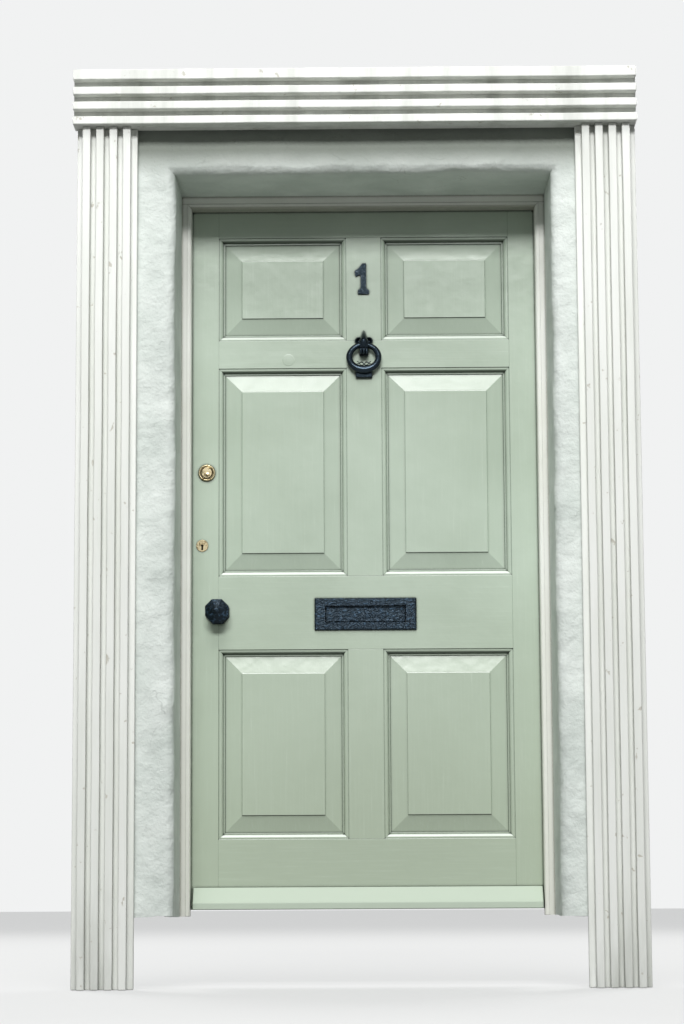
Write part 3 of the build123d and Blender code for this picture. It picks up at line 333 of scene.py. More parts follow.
def handledMetal(name, bright, dull, recess, roughness, spots):
    # Metal that hands have rubbed, bright and dull in spots; its hollows, where it doesn't stand
    # out, are painted darker as painted shade. Scratches are hair-thin and are drawn 1 mm apart so
    # that they show.
    material, tree = emptyMaterial(name)
    place = (addNode(tree, "ShaderNodeTexCoord"), "Object")
    tarnish = addNode(tree, "ShaderNodeTexNoise", {
        "Vector": place, "Scale": spots, "Detail": 6.0, "Roughness": 0.65})
    lines = addNode(tree, "ShaderNodeMapping", {"Vector": place, "Scale": (900, 900, 110)})
    scratches = addNode(tree, "ShaderNodeTexNoise", {
        "Vector": (lines, "Vector"), "Scale": 1.0, "Detail": 3.0})
    spotted = addNode(tree, "ShaderNodeMapRange", {
        "Value": (tarnish, "Fac"), "From Min": 0.42, "From Max": 0.62})
    body = addNode(tree, "ShaderNodeMix", {
        0: (spotted, "Result"), 6: bright, 7: dull}, data_type="RGBA")
    # Hollows, found by ambient occlusion, are mixed towards the recess colour: a painted shade.
    corner = addNode(tree, "ShaderNodeAmbientOcclusion", {"Distance": 4 * mm}, samples=6)
    paintedShade = addNode(tree, "ShaderNodeMapRange", {
        "Value": (corner, "AO"), "From Min": 0.4, "From Max": 0.8, "To Min": 1.0, "To Max": 0.0})
    colour = addNode(tree, "ShaderNodeMix", {
        0: (paintedShade, "Result"), 6: (body, 2), 7: recess}, data_type="RGBA")
    gloss = addNode(tree, "ShaderNodeMapRange", {
        "Value": (tarnish, "Fac"), "From Min": 0.4, "From Max": 0.65,
        "To Min": roughness - 0.06, "To Max": roughness + 0.16})
    scored = addNode(tree, "ShaderNodeBump", {
        "Height": (scratches, "Fac"), "Strength": 0.15, "Distance": 0.2 * mm})
    shader = addNode(tree, "ShaderNodeBsdfPrincipled", {
        "Base Color": (colour, 2), "Roughness": (gloss, "Result"), "Normal": (scored, "Normal"),
        "Metallic": 1.0})
    addNode(tree, "ShaderNodeOutputMaterial", {"Surface": (shader, "BSDF")})
    return material


# turned brass that the weather has browned; lacquered brass, still golden; zinc plate with a
# cool bloom; bronze enamel stoved on pressed steel; oiled lever steel, coloured nearly black as
# painted shade inside its lock
brassOutside = handledMetal("weatheredBrass", "#BDB191", "#57492F", "#0B0905", 0.28, 150.0)
brassInside = handledMetal("lacqueredBrass", "#DDBE7C", "#B08F4F", "#3A2D14", 0.24, 60.0)
zincSteel = handledMetal("zincPlatedSteel", "#C6C7C4", "#9FA09C", "#3B3B39", 0.36, 55.0)
stovedEnamel = handledMetal("stovedBronzeEnamel", "#8A7048", "#6B5536", "#2B2115", 0.4, 40.0)
shadedLeverSteel = handledMetal("leverSteelInPaintedShade", "#2B2C2B", "#191A19", "#060606", 0.5, 60.0)
print("materials made:", len(bpy.data.materials))


def mergedCopy(node):
    form = bmesh.new()
    form.from_mesh(frame["nodes"][node].data)
    bmesh.ops.remove_doubles(form, verts=form.verts, dist=0.005 * mm)
    bmesh.ops.dissolve_limit(form, angle_limit=radians(0.6), verts=form.verts, edges=form.edges)
    return form


def bevelEdges(form, edges, width, segments=2, clamp=True):
    bmesh.ops.bevel(
        form, geom=edges, offset=width * mm, offset_type="OFFSET", affect="EDGES",
        segments=segments, profile=0.5, material=-1, clamp_overlap=clamp)


def soften(form, width, segments=2, sharpness=24, chosen=None):
    edges = [e for e in form.edges
             if len(e.link_faces) == 2 and e.calc_face_angle(0) > radians(sharpness)]
    if chosen:
        edges = [e for e in edges if chosen((e.verts[0].co + e.verts[1].co) / 2)]
    bevelEdges(form, edges, width, segments)


def cutIntoGrid(form, spacing, axes=(0, 1, 2)):
    for axis in axes:
        places = [v.co[axis] for v in form.verts]
        low, high = min(places), max(places)
        count = int((high - low) / (spacing * mm))
        normal = Vector([float(k == axis) for k in range(3)])
        for step in range(1, count + 1):
            bmesh.ops.bisect_plane(
                form, geom=form.verts[:] + form.edges[:] + form.faces[:], dist=0.001 * mm,
                plane_co=normal * (low + (high - low) * step / (count + 1)), plane_no=normal)


def makeUneven(form, size, depth, seed=0.0, share=None):
    # One smooth field for all pieces, so that surfaces that touch stay together. The seed picks
    # another part of it, and share(place) says how much of the depth a place gets, from 0 to 1.
    shift = Vector((seed, seed * 0.7, -seed))
    for vert in form.verts:
        amount = share(vert.co) if share else 1.0
        if amount > 0:
            field = noise.noise_vector(vert.co / (size * mm) + shift)
            vert.co += Vector([field[k] * (depth[k] * mm) * amount for k in range(3)])


def inFrontOf(y):
    return lambda co: float(co.y < y * mm)


def spun(form, profile, axis, centre, steps=32):
    # profile: (distance from the axis, place along it), turned full round an axis in Y, X or Z
    along = Vector([float(k == axis) for k in range(3)])
    out = Vector((1, 0, 0)) if axis != 0 else Vector((0, 0, 1))
    middle = Vector([c * mm for c in centre])
    verts = [form.verts.new(middle + out * (radius * mm) + along * (place * mm))
             for radius, place in profile]
    edges = [form.edges.new(pair) for pair in zip(verts, verts[1:])]
    bmesh.ops.spin(
        form, geom=verts + edges, cent=middle, axis=along, angle=2 * pi, steps=steps,
        use_merge=True)
    bmesh.ops.remove_doubles(form, verts=form.verts, dist=0.01 * mm)


def block(form, low, high, softened):
    size = [(high[k] - low[k]) * mm for k in range(3)]
    middle = [(high[k] + low[k]) / 2 * mm for k in range(3)]
    made = bmesh.ops.create_cube(
        form, size=1.0, matrix=Matrix.Translation(middle) @ Matrix.Diagonal((*size, 1)))
    bevelEdges(form, list({e for v in made["verts"] for e in v.link_edges}), softened)


def addPiece(form, name, material, body, stands=(), smooth=32, flat=150.0):
    # flat: a face larger than this, in square mm, keeps a straight shine up to its edges
    for face in form.faces:
        face.smooth = True
    for edge in form.edges:
        turn = edge.calc_face_angle(pi)
        large = any(face.calc_area() > flat * mm ** 2 for face in edge.link_faces)
        edge.smooth = turn < radians(smooth) and not (large and turn > radians(3))
    mesh = bpy.data.meshes.new(name)
    form.to_mesh(mesh)
    form.free()
    mesh.materials.append(material)
    piece = bpy.data.objects.new(name, mesh)
    bpy.context.scene.collection.objects.link(piece)
    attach(piece, body)
    if stands:
        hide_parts(*stands)


def standFor(form, node, name, material, smooth=32):
    addPiece(form, name, material, bodyOf[node], (node,), smooth)


def dressed(node, name, material, width, segments=2):
    form = mergedCopy(node)
    soften(form, width, segments)
    standFor(form, node, name, material)


# Joinery: each member with its arrises rounded by sanding and paint, by the width given
joinery = {
    "lock_stile": ("lockStile", sageUpright, 0.6),
    "hinge_stile": ("hingeStile", sageUpright, 0.6),
    "muntin_lower": ("lowerMuntin", sageUpright, 0.6),
    "muntin_middle": ("middleMuntin", sageUpright, 0.6),
    "muntin_top": ("topMuntin", sageUpright, 0.6),
    "bottom_rail": ("bottomRail", sageLevel, 0.6),
    "lock_rail": ("lockRail", sageLevel, 0.6),
    "frieze_rail": ("friezeRail", sageLevel, 0.6),
    "top_rail": ("topRail", sageLevel, 0.6),
    "weatherboard": ("weatherboardMoulding", sageBoard, 2.0),
    "panel_lower_lock_side": ("lowerPanelLockSide", sageUpright, 1.0),
    "panel_lower_hinge_side": ("lowerPanelHingeSide", sageUpright, 1.0),
    "panel_middle_lock_side": ("middlePanelLockSide", sageUpright, 1.0),
    "panel_middle_hinge_side": ("middlePanelHingeSide", sageUpright, 1.0),
    "panel_top_lock_side": ("topPanelLockSide", sageUpright, 1.0),
    "panel_top_hinge_side": ("topPanelHingeSide", sageUpright, 1.0),
    "lock_jamb": ("lockJamb", creamUpright, 1.5),
    "hinge_jamb": ("hingeJamb", creamUpright, 1.5),
    "frame_head": ("headOfFrame", creamLevel, 1.5),
    "stop_lock_side": ("plantedStopLockSide", creamUpright, 1.0),
    "stop_hinge_side": ("plantedStopHingeSide", creamUpright, 1.0),
    "stop_head": ("plantedStopHead", creamLevel, 1.0),
    "pilaster_board_lock_side": ("pilasterBoardLockSide", whiteUpright, 2.0),
    "pilaster_board_hinge_side": ("pilasterBoardHingeSide", whiteUpright, 2.0),
    "surround_head_board": ("surroundHeadBoard", whiteLevel, 2.0),
}
for node, (name, material, width) in joinery.items():
    dressed(node, name, material, width)

# Reeds: hand-planed, so each wanders a little over its reach
reeds = {"arris": 2.4, "spacing": 60.0, "wander": 0.9, "reach": 230.0}
for node, name, upright in (
    ("pilaster_reeds_lock_side", "pilasterReedsLockSide", True),
    ("pilaster_reeds_hinge_side", "pilasterReedsHingeSide", True),
    ("surround_head_reeds", "surroundHeadReeds", False),
):
    form = mergedCopy(node)
    soften(form, reeds["arris"])
    cutIntoGrid(form, reeds["spacing"], (2,) if upright else (0,))
    low, high = [[pick(v.co[axis] for v in form.verts) for axis in range(3)] for pick in (min, max)]
    wander = reeds["wander"]
    makeUneven(form, reeds["reach"], (wander, wander, 0) if upright else (0, wander, wander))
    for vert in form.verts:     # no reed stands prouder than it was planed
        vert.co = Vector([min(max(vert.co[axis], low[axis]), high[axis]) for axis in range(3)])
    standFor(form, node, name, whiteUpright if upright else whiteLevel)
print("joinery dressed")


# Render skin: one coat worked round the reveal by hand, thickest and most rounded at its arris.
# It keeps its line near its back edge, where it meets the frame, and leans back up to the head.
skin = {
    "sight": 492.5, "soffit": 1937.0, "back": 250.0, "outLock": 741.0, "outHinge": 707.5,
    "top": 2192.0, "thickness": 20.0, "arris": 24.0, "spacing": 16.0,
    "keep": 12.0, "fade": 60.0, "lean": 13.0, "leanFrom": 20.0, "leanOver": 90.0,
    "lump": 170.0, "lumpDepth": (4.0, 3.5, 5.0),
    "arrisReach": 50.0, "arrisOut": 550.0, "arrisTop": 2000.0, "beyond": 0.25,
    "wave": 90.0, "waveDepth": (2.5, 2.5, 4.5), "ripple": 48.0, "rippleDepth": (2.2, 2.0, 2.4),
}


def revealSkin():
    form = bmesh.new()
    reach = skin["outLock"] - skin["sight"]
    headScale = (skin["top"] - skin["soffit"]) / reach
    hingeScale = (skin["outHinge"] - skin["sight"]) / reach
    section = [(reach, 0.0), (0.0, 0.0), (0.0, skin["back"])]   # (outwards, into the wall)
    stations = (
        lambda out: (-skin["sight"] - out, 0.0),
        lambda out: (-skin["sight"] - out, skin["soffit"] + out * headScale),
        lambda out: (skin["sight"] + out * hingeScale, skin["soffit"] + out * headScale),
        lambda out: (skin["sight"] + out * hingeScale, 0.0),
    )
    rings = []
    for station in stations:
        corners = [(station(out), y) for out, y in section]
        rings.append([form.verts.new(Vector((x, y, z)) * mm) for (x, z), y in corners])
        for pair in zip(rings[-1], rings[-1][1:]):
            form.edges.new(pair)
    for first, second in zip(rings, rings[1:]):
        run = [form.edges.get(pair) for ring in (first, second) for pair in zip(ring, ring[1:])]
        bmesh.ops.bridge_loops(form, edges=run)
    bmesh.ops.recalc_face_normals(form, faces=form.faces)

    def onArris(co):
        inSight = abs(co.x) < (skin["sight"] + 0.1) * mm and co.z < (skin["soffit"] + 3) * mm
        return inSight and abs(co.y) < 0.001 * mm

    arris = [e for e in form.edges
             if len(e.link_faces) == 2 and all(onArris(v.co) for v in e.verts)]
    bevelEdges(form, arris, skin["arris"], 6, False)
    cutIntoGrid(form, skin["spacing"])

    def inwards(co):
        past = (skin["back"] - skin["keep"]) * mm - co.y
        return max(0.0, min(1.0, past / (skin["fade"] * mm)))

    def nearArris(co):
        if abs(co.x) < skin["arrisOut"] * mm and co.z < skin["arrisTop"] * mm:
            return max(0.0, 1.0 - co.y / (skin["arrisReach"] * mm))
        return skin["beyond"] * inwards(co)

    for vert in form.verts:
        above = (vert.co.z - (skin["soffit"] + skin["leanFrom"]) * mm) / (skin["leanOver"] * mm)
        if above > 0 and vert.co.y < 1 * mm:
            vert.co.y += skin["lean"] * mm * min(1.0, above)
    makeUneven(form, skin["lump"], skin["lumpDepth"], 3.1, inwards)
    makeUneven(form, skin["wave"], skin["waveDepth"], 5.9, nearArris)
    makeUneven(form, skin["ripple"], skin["rippleDepth"], 8.4, nearArris)
    bmesh.ops.recalc_face_normals(form, faces=form.faces)
    front = min(form.faces, key=lambda f: f.calc_center_median().y)
    if front.normal.y > 0:
        bmesh.ops.reverse_faces(form, faces=form.faces)
    bmesh.ops.solidify(form, geom=form.faces[:], thickness=skin["thickness"] * mm)
    addPiece(
        form, "revealRenderSkin", renderPaint, bodyOf["render_head"],
        ("render_lock_side", "render_hinge_side", "render_head"), smooth=60, flat=5000.0)


revealSkin()
print("render skin shaped")


# Letter plate: a rippled casting; the flap fills its opening with a hair's clearance and lies
# behind its lip. Ripples reach back to "plateBack" and "flapBack", and none stands past "proud".
letterPlate = {
    "grid": 2.6, "ripple": 8.5, "depth": (0, 0.85, 0), "proud": 289.2, "plateBack": 292.5,
    "flapBack": 294.5, "halfOpening": 108.45, "openingFoot": 776.55, "openingTall": 44.9,
    "sunk": 3.3, "plateArris": 0.8, "flapArris": 0.3,
}


def ripple(form, back):
    makeUneven(form, letterPlate["ripple"], letterPlate["depth"], 1.7, inFrontOf(back))
    for vert in form.verts:
        vert.co.y = max(vert.co.y, letterPlate["proud"] * mm)


def letterPlateFrame():
    form = mergedCopy("letter_plate")
    soften(form, letterPlate["plateArris"])
    cutIntoGrid(form, letterPlate["grid"], (0, 2))
    ripple(form, letterPlate["plateBack"])
    standFor(form, "letter_plate", "letterPlateFrame", ironRippled, smooth=50)


def letterPlateFlap():
    form = mergedCopy("letter_flap")
    soften(form, letterPlate["flapArris"])
    cutIntoGrid(form, letterPlate["grid"], (0, 2))
    lowZ, highZ = [pick(v.co.z for v in form.verts) for pick in (min, max)]
    highX = max(v.co.x for v in form.verts)
    for vert in form.verts:
        upFlap = (vert.co.z - lowZ) / (highZ - lowZ)
        vert.co.x *= letterPlate["halfOpening"] * mm / highX
        vert.co.z = (letterPlate["openingFoot"] + upFlap * letterPlate["openingTall"]) * mm
        if vert.co.y < letterPlate["plateBack"] * mm:
            vert.co.y += letterPlate["sunk"] * mm
    ripple(form, letterPlate["flapBack"])
    standFor(form, "letter_flap", "letterPlateFlap", ironRippled, smooth=50)


letterPlateFrame()
letterPlateFlap()


# Knocker: a ring that is thickest at its foot, with two strands wound on its lower bar
ring = {
    "y": 277.0, "middle": 1496.1, "halfWide": 39.5, "halfTall": 33.9, "halfThick": 6.9,
    "topBar": 7.0, "sideBar": 8.5, "footBar": 10.2, "steps": 64,
    "dent": 14.0, "depth": (0.35, 0.25, 0.35),
    "twist": {
        "half": 19.0, "y": 276.0, "z": 1477.0, "strand": 1.9, "coil": 5.0, "turns": 1.5,
        "rise": 4.6, "flat": 0.6, "slim": 0.45, "steps": 60},
}


def knockerRing():
    form = bmesh.new()
    thick = 0.2     # of the bar on a ring of radius 1, which is then drawn out to size
    section = bmesh.ops.create_circle(
        form, cap_ends=False, radius=thick, segments=16, matrix=Matrix.Translation((1, 0, 0)))
    edges = list({e for v in section["verts"] for e in v.link_edges})
    bmesh.ops.spin(
        form, geom=section["verts"] + edges, cent=(0, 0, 0), axis=(0, 1, 0), angle=2 * pi,
        steps=ring["steps"], use_merge=True)
    bmesh.ops.remove_doubles(form, verts=form.verts, dist=1e-4)
    for vert in form.verts:
        turn = atan2(vert.co.z, vert.co.x)
        out = (sqrt(vert.co.x ** 2 + vert.co.z ** 2) - 1) / thick
        deep = vert.co.y / thick
        up = sin(turn)
        bar = ring["sideBar"] + (ring["topBar"] - ring["sideBar"]) * max(up, 0) ** 2
        bar += (ring["footBar"] - ring["sideBar"]) * max(-up, 0) ** 2
        vert.co = Vector((
            cos(turn) * (ring["halfWide"] + out * bar),
            ring["y"] + deep * ring["halfThick"],
            ring["middle"] + up * (ring["halfTall"] + out * bar),
        )) * mm
    twist = ring["twist"]
    axis = Vector((-twist["half"], twist["y"], twist["z"])) * mm
    for side in (-1, 1):
        before = set(form.verts)
        start = axis + Vector((0, 0, side * twist["coil"] * mm))
        strand = bmesh.ops.create_circle(
            form, cap_ends=True, radius=twist["strand"] * mm, segments=8,
            matrix=Matrix.Translation(start) @ Matrix.Rotation(pi / 2, 4, "Y"))
        geom = list({g for v in strand["verts"] for g in (v, *v.link_edges, *v.link_faces)})
        bmesh.ops.spin(
            form, geom=geom, cent=axis, axis=(1, 0, 0),
            dvec=(2 * twist["half"] / twist["steps"] * mm, 0, 0),
            angle=2 * pi * twist["turns"], steps=twist["steps"])
        for vert in set(form.verts) - before:   # it follows the bar and thins to its ends
            along = vert.co.x / (twist["half"] * mm)
            slim = 1 - twist["slim"] * abs(along) ** 3
            vert.co.y = axis.y + (vert.co.y - axis.y) * slim * twist["flat"]
            vert.co.z = axis.z + (vert.co.z - axis.z) * slim + twist["rise"] * mm * along ** 2
    bmesh.ops.recalc_face_normals(form, faces=form.faces)
    makeUneven(form, ring["dent"], ring["depth"], 4.0)
    standFor(form, "knocker_ring", "knockerRing", ironSmooth, smooth=60)


# Hanger: an eye on a back plate, three claws under it, and a lily whose side leaves curl up.
# Profiles are (radius, place along the axis); a leaf section is level, half width, front, back.
hanger = {
    "eyeAt": (0.0, 277.0, 1530.0),
    "eyeProfile": (
        (10.3, -11.2), (11.1, -12.0), (13.2, -12.0), (14.7, -10.5), (14.7, 10.5), (13.2, 12.0),
        (11.1, 12.0), (10.3, 11.2), (10.3, -11.2)),
    "backPlate": ((-12.0, 288.5, 1503.0), (12.0, leafFront, 1544.7), 0.8),
    "boss": ((-11.8, 265.5, 1506.5), (11.8, 289.5, 1519.2), 1.2),
    "claws": (-7.9, 0.0, 7.9),
    "clawY": 266.5,
    "clawProfile": (
        (0, 1502.2), (1.6, 1502.5), (3.0, 1503.6), (3.9, 1506), (4.0, 1510), (3.6, 1517),
        (0, 1519.4)),
    "leafSections": (
        (1523, 3.5, 261.5, 266), (1527, 6.0, 259.8, 266.5), (1533, 8.2, 258.8, 266.5),
        (1540, 9.25, 258.4, 267), (1545, 9.4, 258.6, 285), (1549, 9.2, 259.8, 296),
        (1554, 8.2, 262.4, 296), (1559, 6.6, 266.2, 296), (1564, 5.0, 271.5, 296),
        (1569, 3.0, 279, 296), (1573, 0.4, 288, 295.5)),
    "voluteAt": (13.5, 1543.5),
    "voluteProfile": (
        (0, 294.4), (2.6, 294.2), (3.6, 291.0), (5.2, 288.0), (7.4, 286.6), (9.4, 287.6),
        (10.8, 290.6), (11.1, 293.6), (10.9, 296.0), (0, 296.0)),
    "dent": 12.0, "depth": (0.2, 0.2, 0.2), "back": 295.0,
}


def knockerHanger():
    form = bmesh.new()
    spun(form, hanger["eyeProfile"], 0, hanger["eyeAt"], 36)
    block(form, *hanger["backPlate"])
    block(form, *hanger["boss"])
    for x in hanger["claws"]:
        spun(form, hanger["clawProfile"], 2, (x, hanger["clawY"], 0), 16)
    rings = []
    for level, wide, front, back in hanger["leafSections"]:
        section = bmesh.ops.create_circle(form, cap_ends=False, radius=1.0, segments=16)["verts"]
        for vert in section:
            ridge = 1 - 0.3 * abs(vert.co.x) ** 0.7 if vert.co.y < 0 else 1
            y = (front + back) / 2 + vert.co.y * ridge * (back - front) / 2
            vert.co = Vector((vert.co.x * wide, y, level)) * mm
        rings.append(section)
    for first, second in zip(rings, rings[1:]):
        both = set(first + second)
        bmesh.ops.bridge_loops(form, edges=list({
            e for v in both for e in v.link_edges
            if both.issuperset(e.verts) and len(e.link_faces) < 2}))
    bmesh.ops.holes_fill(form, edges=[e for e in form.edges if len(e.link_faces) == 1], sides=32)
    voluteX, voluteZ = hanger["voluteAt"]
    for side in (-1, 1):
        spun(form, hanger["voluteProfile"], 1, (side * voluteX, 0, voluteZ), 28)
    bmesh.ops.remove_doubles(form, verts=form.verts, dist=0.005 * mm)
    bmesh.ops.recalc_face_normals(form, faces=form.faces)
    makeUneven(form, hanger["dent"], hanger["depth"], 6.0, inFrontOf(hanger["back"]))
    standFor(form, "knocker_hanger", "knockerHanger", ironSmooth, smooth=50)


knockerRing()
knockerHanger()
dressed("knocker_strike", "knockerStrikePlate", ironSmooth, 1.6, 3)
print("letter plate and knocker shaped")


# Numeral, measured from the middle of its stem and its foot; its face is worn, not its edge
numeral = {
    "foot": 1674.0, "top": 85.0, "thickness": 6.0, "bevel": 1.7, "flare": 7.2, "base": 11.5,
    "halfStem": 7.3, "halfBase": 14.9, "bevelBack": 291.0, "faceBack": 293.5, "proud": 290.1,
    "grid": 3.0, "dent": 6.0, "depth": (0, 0.45, 0),
    "flag": [(-3.5, 85), (-7.0, 78.5), (-12.0, 72.0), (-18.5, 67.0), (-23.6, 64.5), (-23.0, 57),
             (-20.8, 48.5), (-13.5, 52.8), (-7.3, 54.0)],
}


def numeralOne():
    form = bmesh.new()
    flare = [radians(15 * step) for step in range(7)]
    reach, stem, base, half = [numeral[key] for key in ("flare", "halfStem", "base", "halfBase")]
    left = [(-stem - reach + reach * cos(a), base + reach - reach * sin(a)) for a in flare]
    right = [(-x, z) for x, z in reversed(left)]
    foot = [(-half, base), (-half, 0), (half, 0), (half, base)]
    outline = numeral["flag"] + left + foot + right + [(stem, numeral["top"])]
    verts = [form.verts.new(Vector((x, leafFront, numeral["foot"] + z)) * mm) for x, z in outline]
    bmesh.ops.triangle_fill(form, use_beauty=True, edges=[
        form.edges.new((a, b)) for a, b in zip(verts, verts[1:] + verts[:1])])
    bmesh.ops.dissolve_limit(form, angle_limit=radians(1), verts=form.verts, edges=form.edges)
    raised = bmesh.ops.extrude_face_region(form, geom=form.faces[:])["geom"]
    front = [g for g in raised if isinstance(g, bmesh.types.BMVert)]
    bmesh.ops.translate(form, verts=front, vec=(0, -numeral["thickness"] * mm, 0))
    bmesh.ops.recalc_face_normals(form, faces=form.faces)
    soften(form, numeral["bevel"], 2, 20, inFrontOf(numeral["bevelBack"]))
    bmesh.ops.triangulate(form, faces=[f for f in form.faces if len(f.verts) > 4])
    cutIntoGrid(form, numeral["grid"], (0, 2))
    makeUneven(form, numeral["dent"], numeral["depth"], 2.0, inFrontOf(numeral["faceBack"]))
    for vert in form.verts:
        vert.co.y = max(vert.co.y, numeral["proud"] * mm)
    standFor(form, "house_number", "numeralOne", ironSpeckled, smooth=40)


# Pull knob: hammered facets in front of its rose
pullKnob = {"arris": 0.9, "dent": 15.0, "depth": (0.5, 0.5, 0.5), "back": 290.0}


def hammeredKnob():
    form = mergedCopy("pull_knob")
    soften(form, pullKnob["arris"])
    makeUneven(form, pullKnob["dent"], pullKnob["depth"], 5.0, inFrontOf(pullKnob["back"]))
    standFor(form, "pull_knob", "octagonalPullKnob", ironRippled, smooth=12)


numeralOne()
hammeredKnob()
print("numeral and knob shaped")


# Rose of the cylinder: two rolls turned in brass, (radius, place along the axis)
rose = {
    "centre": (-426.0, 0.0, 1184.0),
    "profile": (
        (14.4, 296.0), (14.4, 291.2), (15.2, 289.9), (16.6, 289.5), (17.6, 290.3), (18.6, 289.5),
        (20.2, 289.1), (21.8, 289.9), (22.8, 291.8), (23.0, 294.0), (23.0, 296.0), (14.4, 296.0)),
}


def cylinderRose():
    form = bmesh.new()
    spun(form, rose["profile"], 1, rose["centre"], 48)
    bmesh.ops.recalc_face_normals(form, faces=form.faces)
    standFor(form, "cylinder_ring", "cylinderRose", brassOutside, smooth=50)


cylinderRose()

# Locks and hinges, each with its arris
fittings = {
    "cylinder_body": ("cylinderBody", brassOutside, 0.7),
    "cylinder_plug": ("cylinderPlug", brassOutside, 0.4),
    "escutcheon_outside": ("keyholeEscutcheon", brassOutside, 0.6),
    "escutcheon_inside": ("keyholePlateInside", brassInside, 0.6),
    "hinge_plates_frame": ("hingeLeavesOnJamb", zincSteel, 0.4),
    "hinge_plates_leaf": ("hingeLeavesOnStile", zincSteel, 0.4),
    "nightlatch_case": ("nightlatchCase", stovedEnamel, 2.0),
    "nightlatch_knob": ("nightlatchTurn", brassInside, 1.2),
    "latch_snib": ("latchSnib", brassInside, 0.8),
    "latch_bolt": ("latchBolt", brassInside, 0.5),
    "latch_keep": ("latchKeep", stovedEnamel, 1.0),
    "deadlock_case": ("deadlockForend", zincSteel, 0.3),
    "deadbolt": ("deadboltBar", brassInside, 0.6),
    "deadbolt_strike": ("deadboltStrike", zincSteel, 0.3),
    "tail_bar": ("tailBar", zincSteel, 0.2),
}
for node, (name, material, width) in fittings.items():
    dressed(node, name, material, width)
print("locks and hinges dressed")


# Slotted screws with domed heads; the profile is (share of the radius, height), and each slot
# stands at another turn
screw = {
    "profile": ((0, 0.65), (0.45, 0.6), (0.8, 0.42), (1.0, 0.1), (1.0, -0.4), (0, -0.4)),
    "slot": 0.9, "slotDeep": 0.45, "turn": 0.5, "nextTurn": 1.3,
}
hingeLevels = (292.0, 965.5, 1714.0)
hingeRows = [(318.0, -38.0), (330.0, -13.0), (318.0, 13.0), (330.0, 38.0)]
hingeHoles = [(y, z + dz) for z in hingeLevels for y, dz in hingeRows]
screwSets = {       # centres, axis, which way they face along it, radius, finish, body, slot
    "hingeScrewsOnStile": (
        [(475.0, y, z) for y, z in hingeHoles], 0, 1, 3.6, zincSteel, "leaf", "steel"),
    "hingeScrewsOnJamb": (
        [(478.0, y, z) for y, z in hingeHoles], 0, -1, 3.6, zincSteel, "frame", "steel"),
    "forendScrews": (
        [(-475.0, 318.0, 948.0), (-475.0, 318.0, 1052.0)], 0, -1, 3.4, zincSteel, "leaf", "steel"),
    "strikeScrews": (
        [(-478.0, 318.0, 948.0), (-478.0, 318.0, 1052.0)], 0, 1, 3.4, zincSteel, "frame", "steel"),
    "escutcheonPins": (
        [(-427.0, 293.8, 987.0), (-449.0, 293.8, 987.0)],
        1, -1, 1.7, brassOutside, "leaf", "brass"),
    "nightlatchScrews": (
        [(-466.0, 367.0, 1160.0), (-466.0, 367.0, 1208.0), (-413.0, 367.0, 1208.0)],
        1, 1, 3.6, zincSteel, "leaf", "steel"),
    "keyholePlateScrews": (
        [(-438.0, 342.2, 962.5), (-438.0, 342.2, 997.5)], 1, 1, 1.9, brassInside, "leaf", "brass"),
}


def screwHead(centre, axis, facing, radius, turn):
    head = bmesh.new()
    spun(head, [(r * radius, facing * h) for r, h in screw["profile"]], axis, (0, 0, 0), 20)
    bmesh.ops.recalc_face_normals(head, faces=head.faces)
    across = Vector([float(k == (axis + 1) % 3) for k in range(3)])
    across = Matrix.Rotation(turn, 4, "XYZ"[axis]) @ across
    half = screw["slot"] / 2
    for shift in (-half, half):
        bmesh.ops.bisect_plane(
            head, geom=head.verts[:] + head.edges[:] + head.faces[:], dist=1e-6,
            plane_co=across * shift * mm, plane_no=across)
    groove = [f for f in head.faces if abs(f.calc_center_median().dot(across)) < half * mm
              and f.normal[axis] * facing > 0.3]
    sunk = bmesh.ops.extrude_face_region(head, geom=groove)["geom"]
    bmesh.ops.delete(head, geom=groove, context="FACES")
    bmesh.ops.translate(
        head, verts=[g for g in sunk if isinstance(g, bmesh.types.BMVert)],
        vec=[-facing * screw["slotDeep"] * mm if k == axis else 0 for k in range(3)])
    bmesh.ops.translate(head, verts=head.verts, vec=Vector(centre) * mm)
    return head


for name, (centres, axis, facing, radius, finish, body, slot) in screwSets.items():
    form = bmesh.new()
    for count, centre in enumerate(centres):
        turn = screw["turn"] + screw["nextTurn"] * count
        head = screwHead(centre, axis, facing, radius, turn)
        spare = bpy.data.meshes.new("spare")
        head.to_mesh(spare)
        head.free()
        form.from_mesh(spare)
        bpy.data.meshes.remove(spare)
    addPiece(form, name, finish, body, smooth=40)

# Bolts behind the castings: a washer, a six-sided nut and the stud's end, heights off the leaf
bolts = {
    "places": ((-126, 799), (126, 799), (0, 1510), (-396, 805)),
    "washer": ((3.1, 0), (3.1, 1.6), (8.4, 1.6), (9.0, 1.1), (9.0, 0), (3.1, 0)),
    "stud": ((0, 6), (3, 6), (3, 8.6), (2.4, 9.4), (0, 9.4)),
    "nut": 6.5, "nutTall": 5.2, "nutMiddle": 4.2, "nutArris": 0.5,
}


def throughBolts():
    form = bmesh.new()
    for x, z in bolts["places"]:
        washer, stud = [[(r, leafBack + h) for r, h in bolts[key]] for key in ("washer", "stud")]
        spun(form, washer, 1, (x, 0, z), 28)
        middle = Vector((x, leafBack + bolts["nutMiddle"], z)) * mm
        nut = bmesh.ops.create_cone(
            form, cap_ends=True, segments=6, radius1=bolts["nut"] * mm, radius2=bolts["nut"] * mm,
            depth=bolts["nutTall"] * mm,
            matrix=Matrix.Translation(middle) @ Matrix.Rotation(pi / 2, 4, "X"))
        rims = list({e for v in nut["verts"] for e in v.link_edges})
        bevelEdges(form, rims, bolts["nutArris"], 2, False)
        spun(form, stud, 1, (x, 0, z), 16)
    bmesh.ops.recalc_face_normals(form, faces=form.faces)
    addPiece(form, "boltsInside", zincSteel, "leaf")


throughBolts()

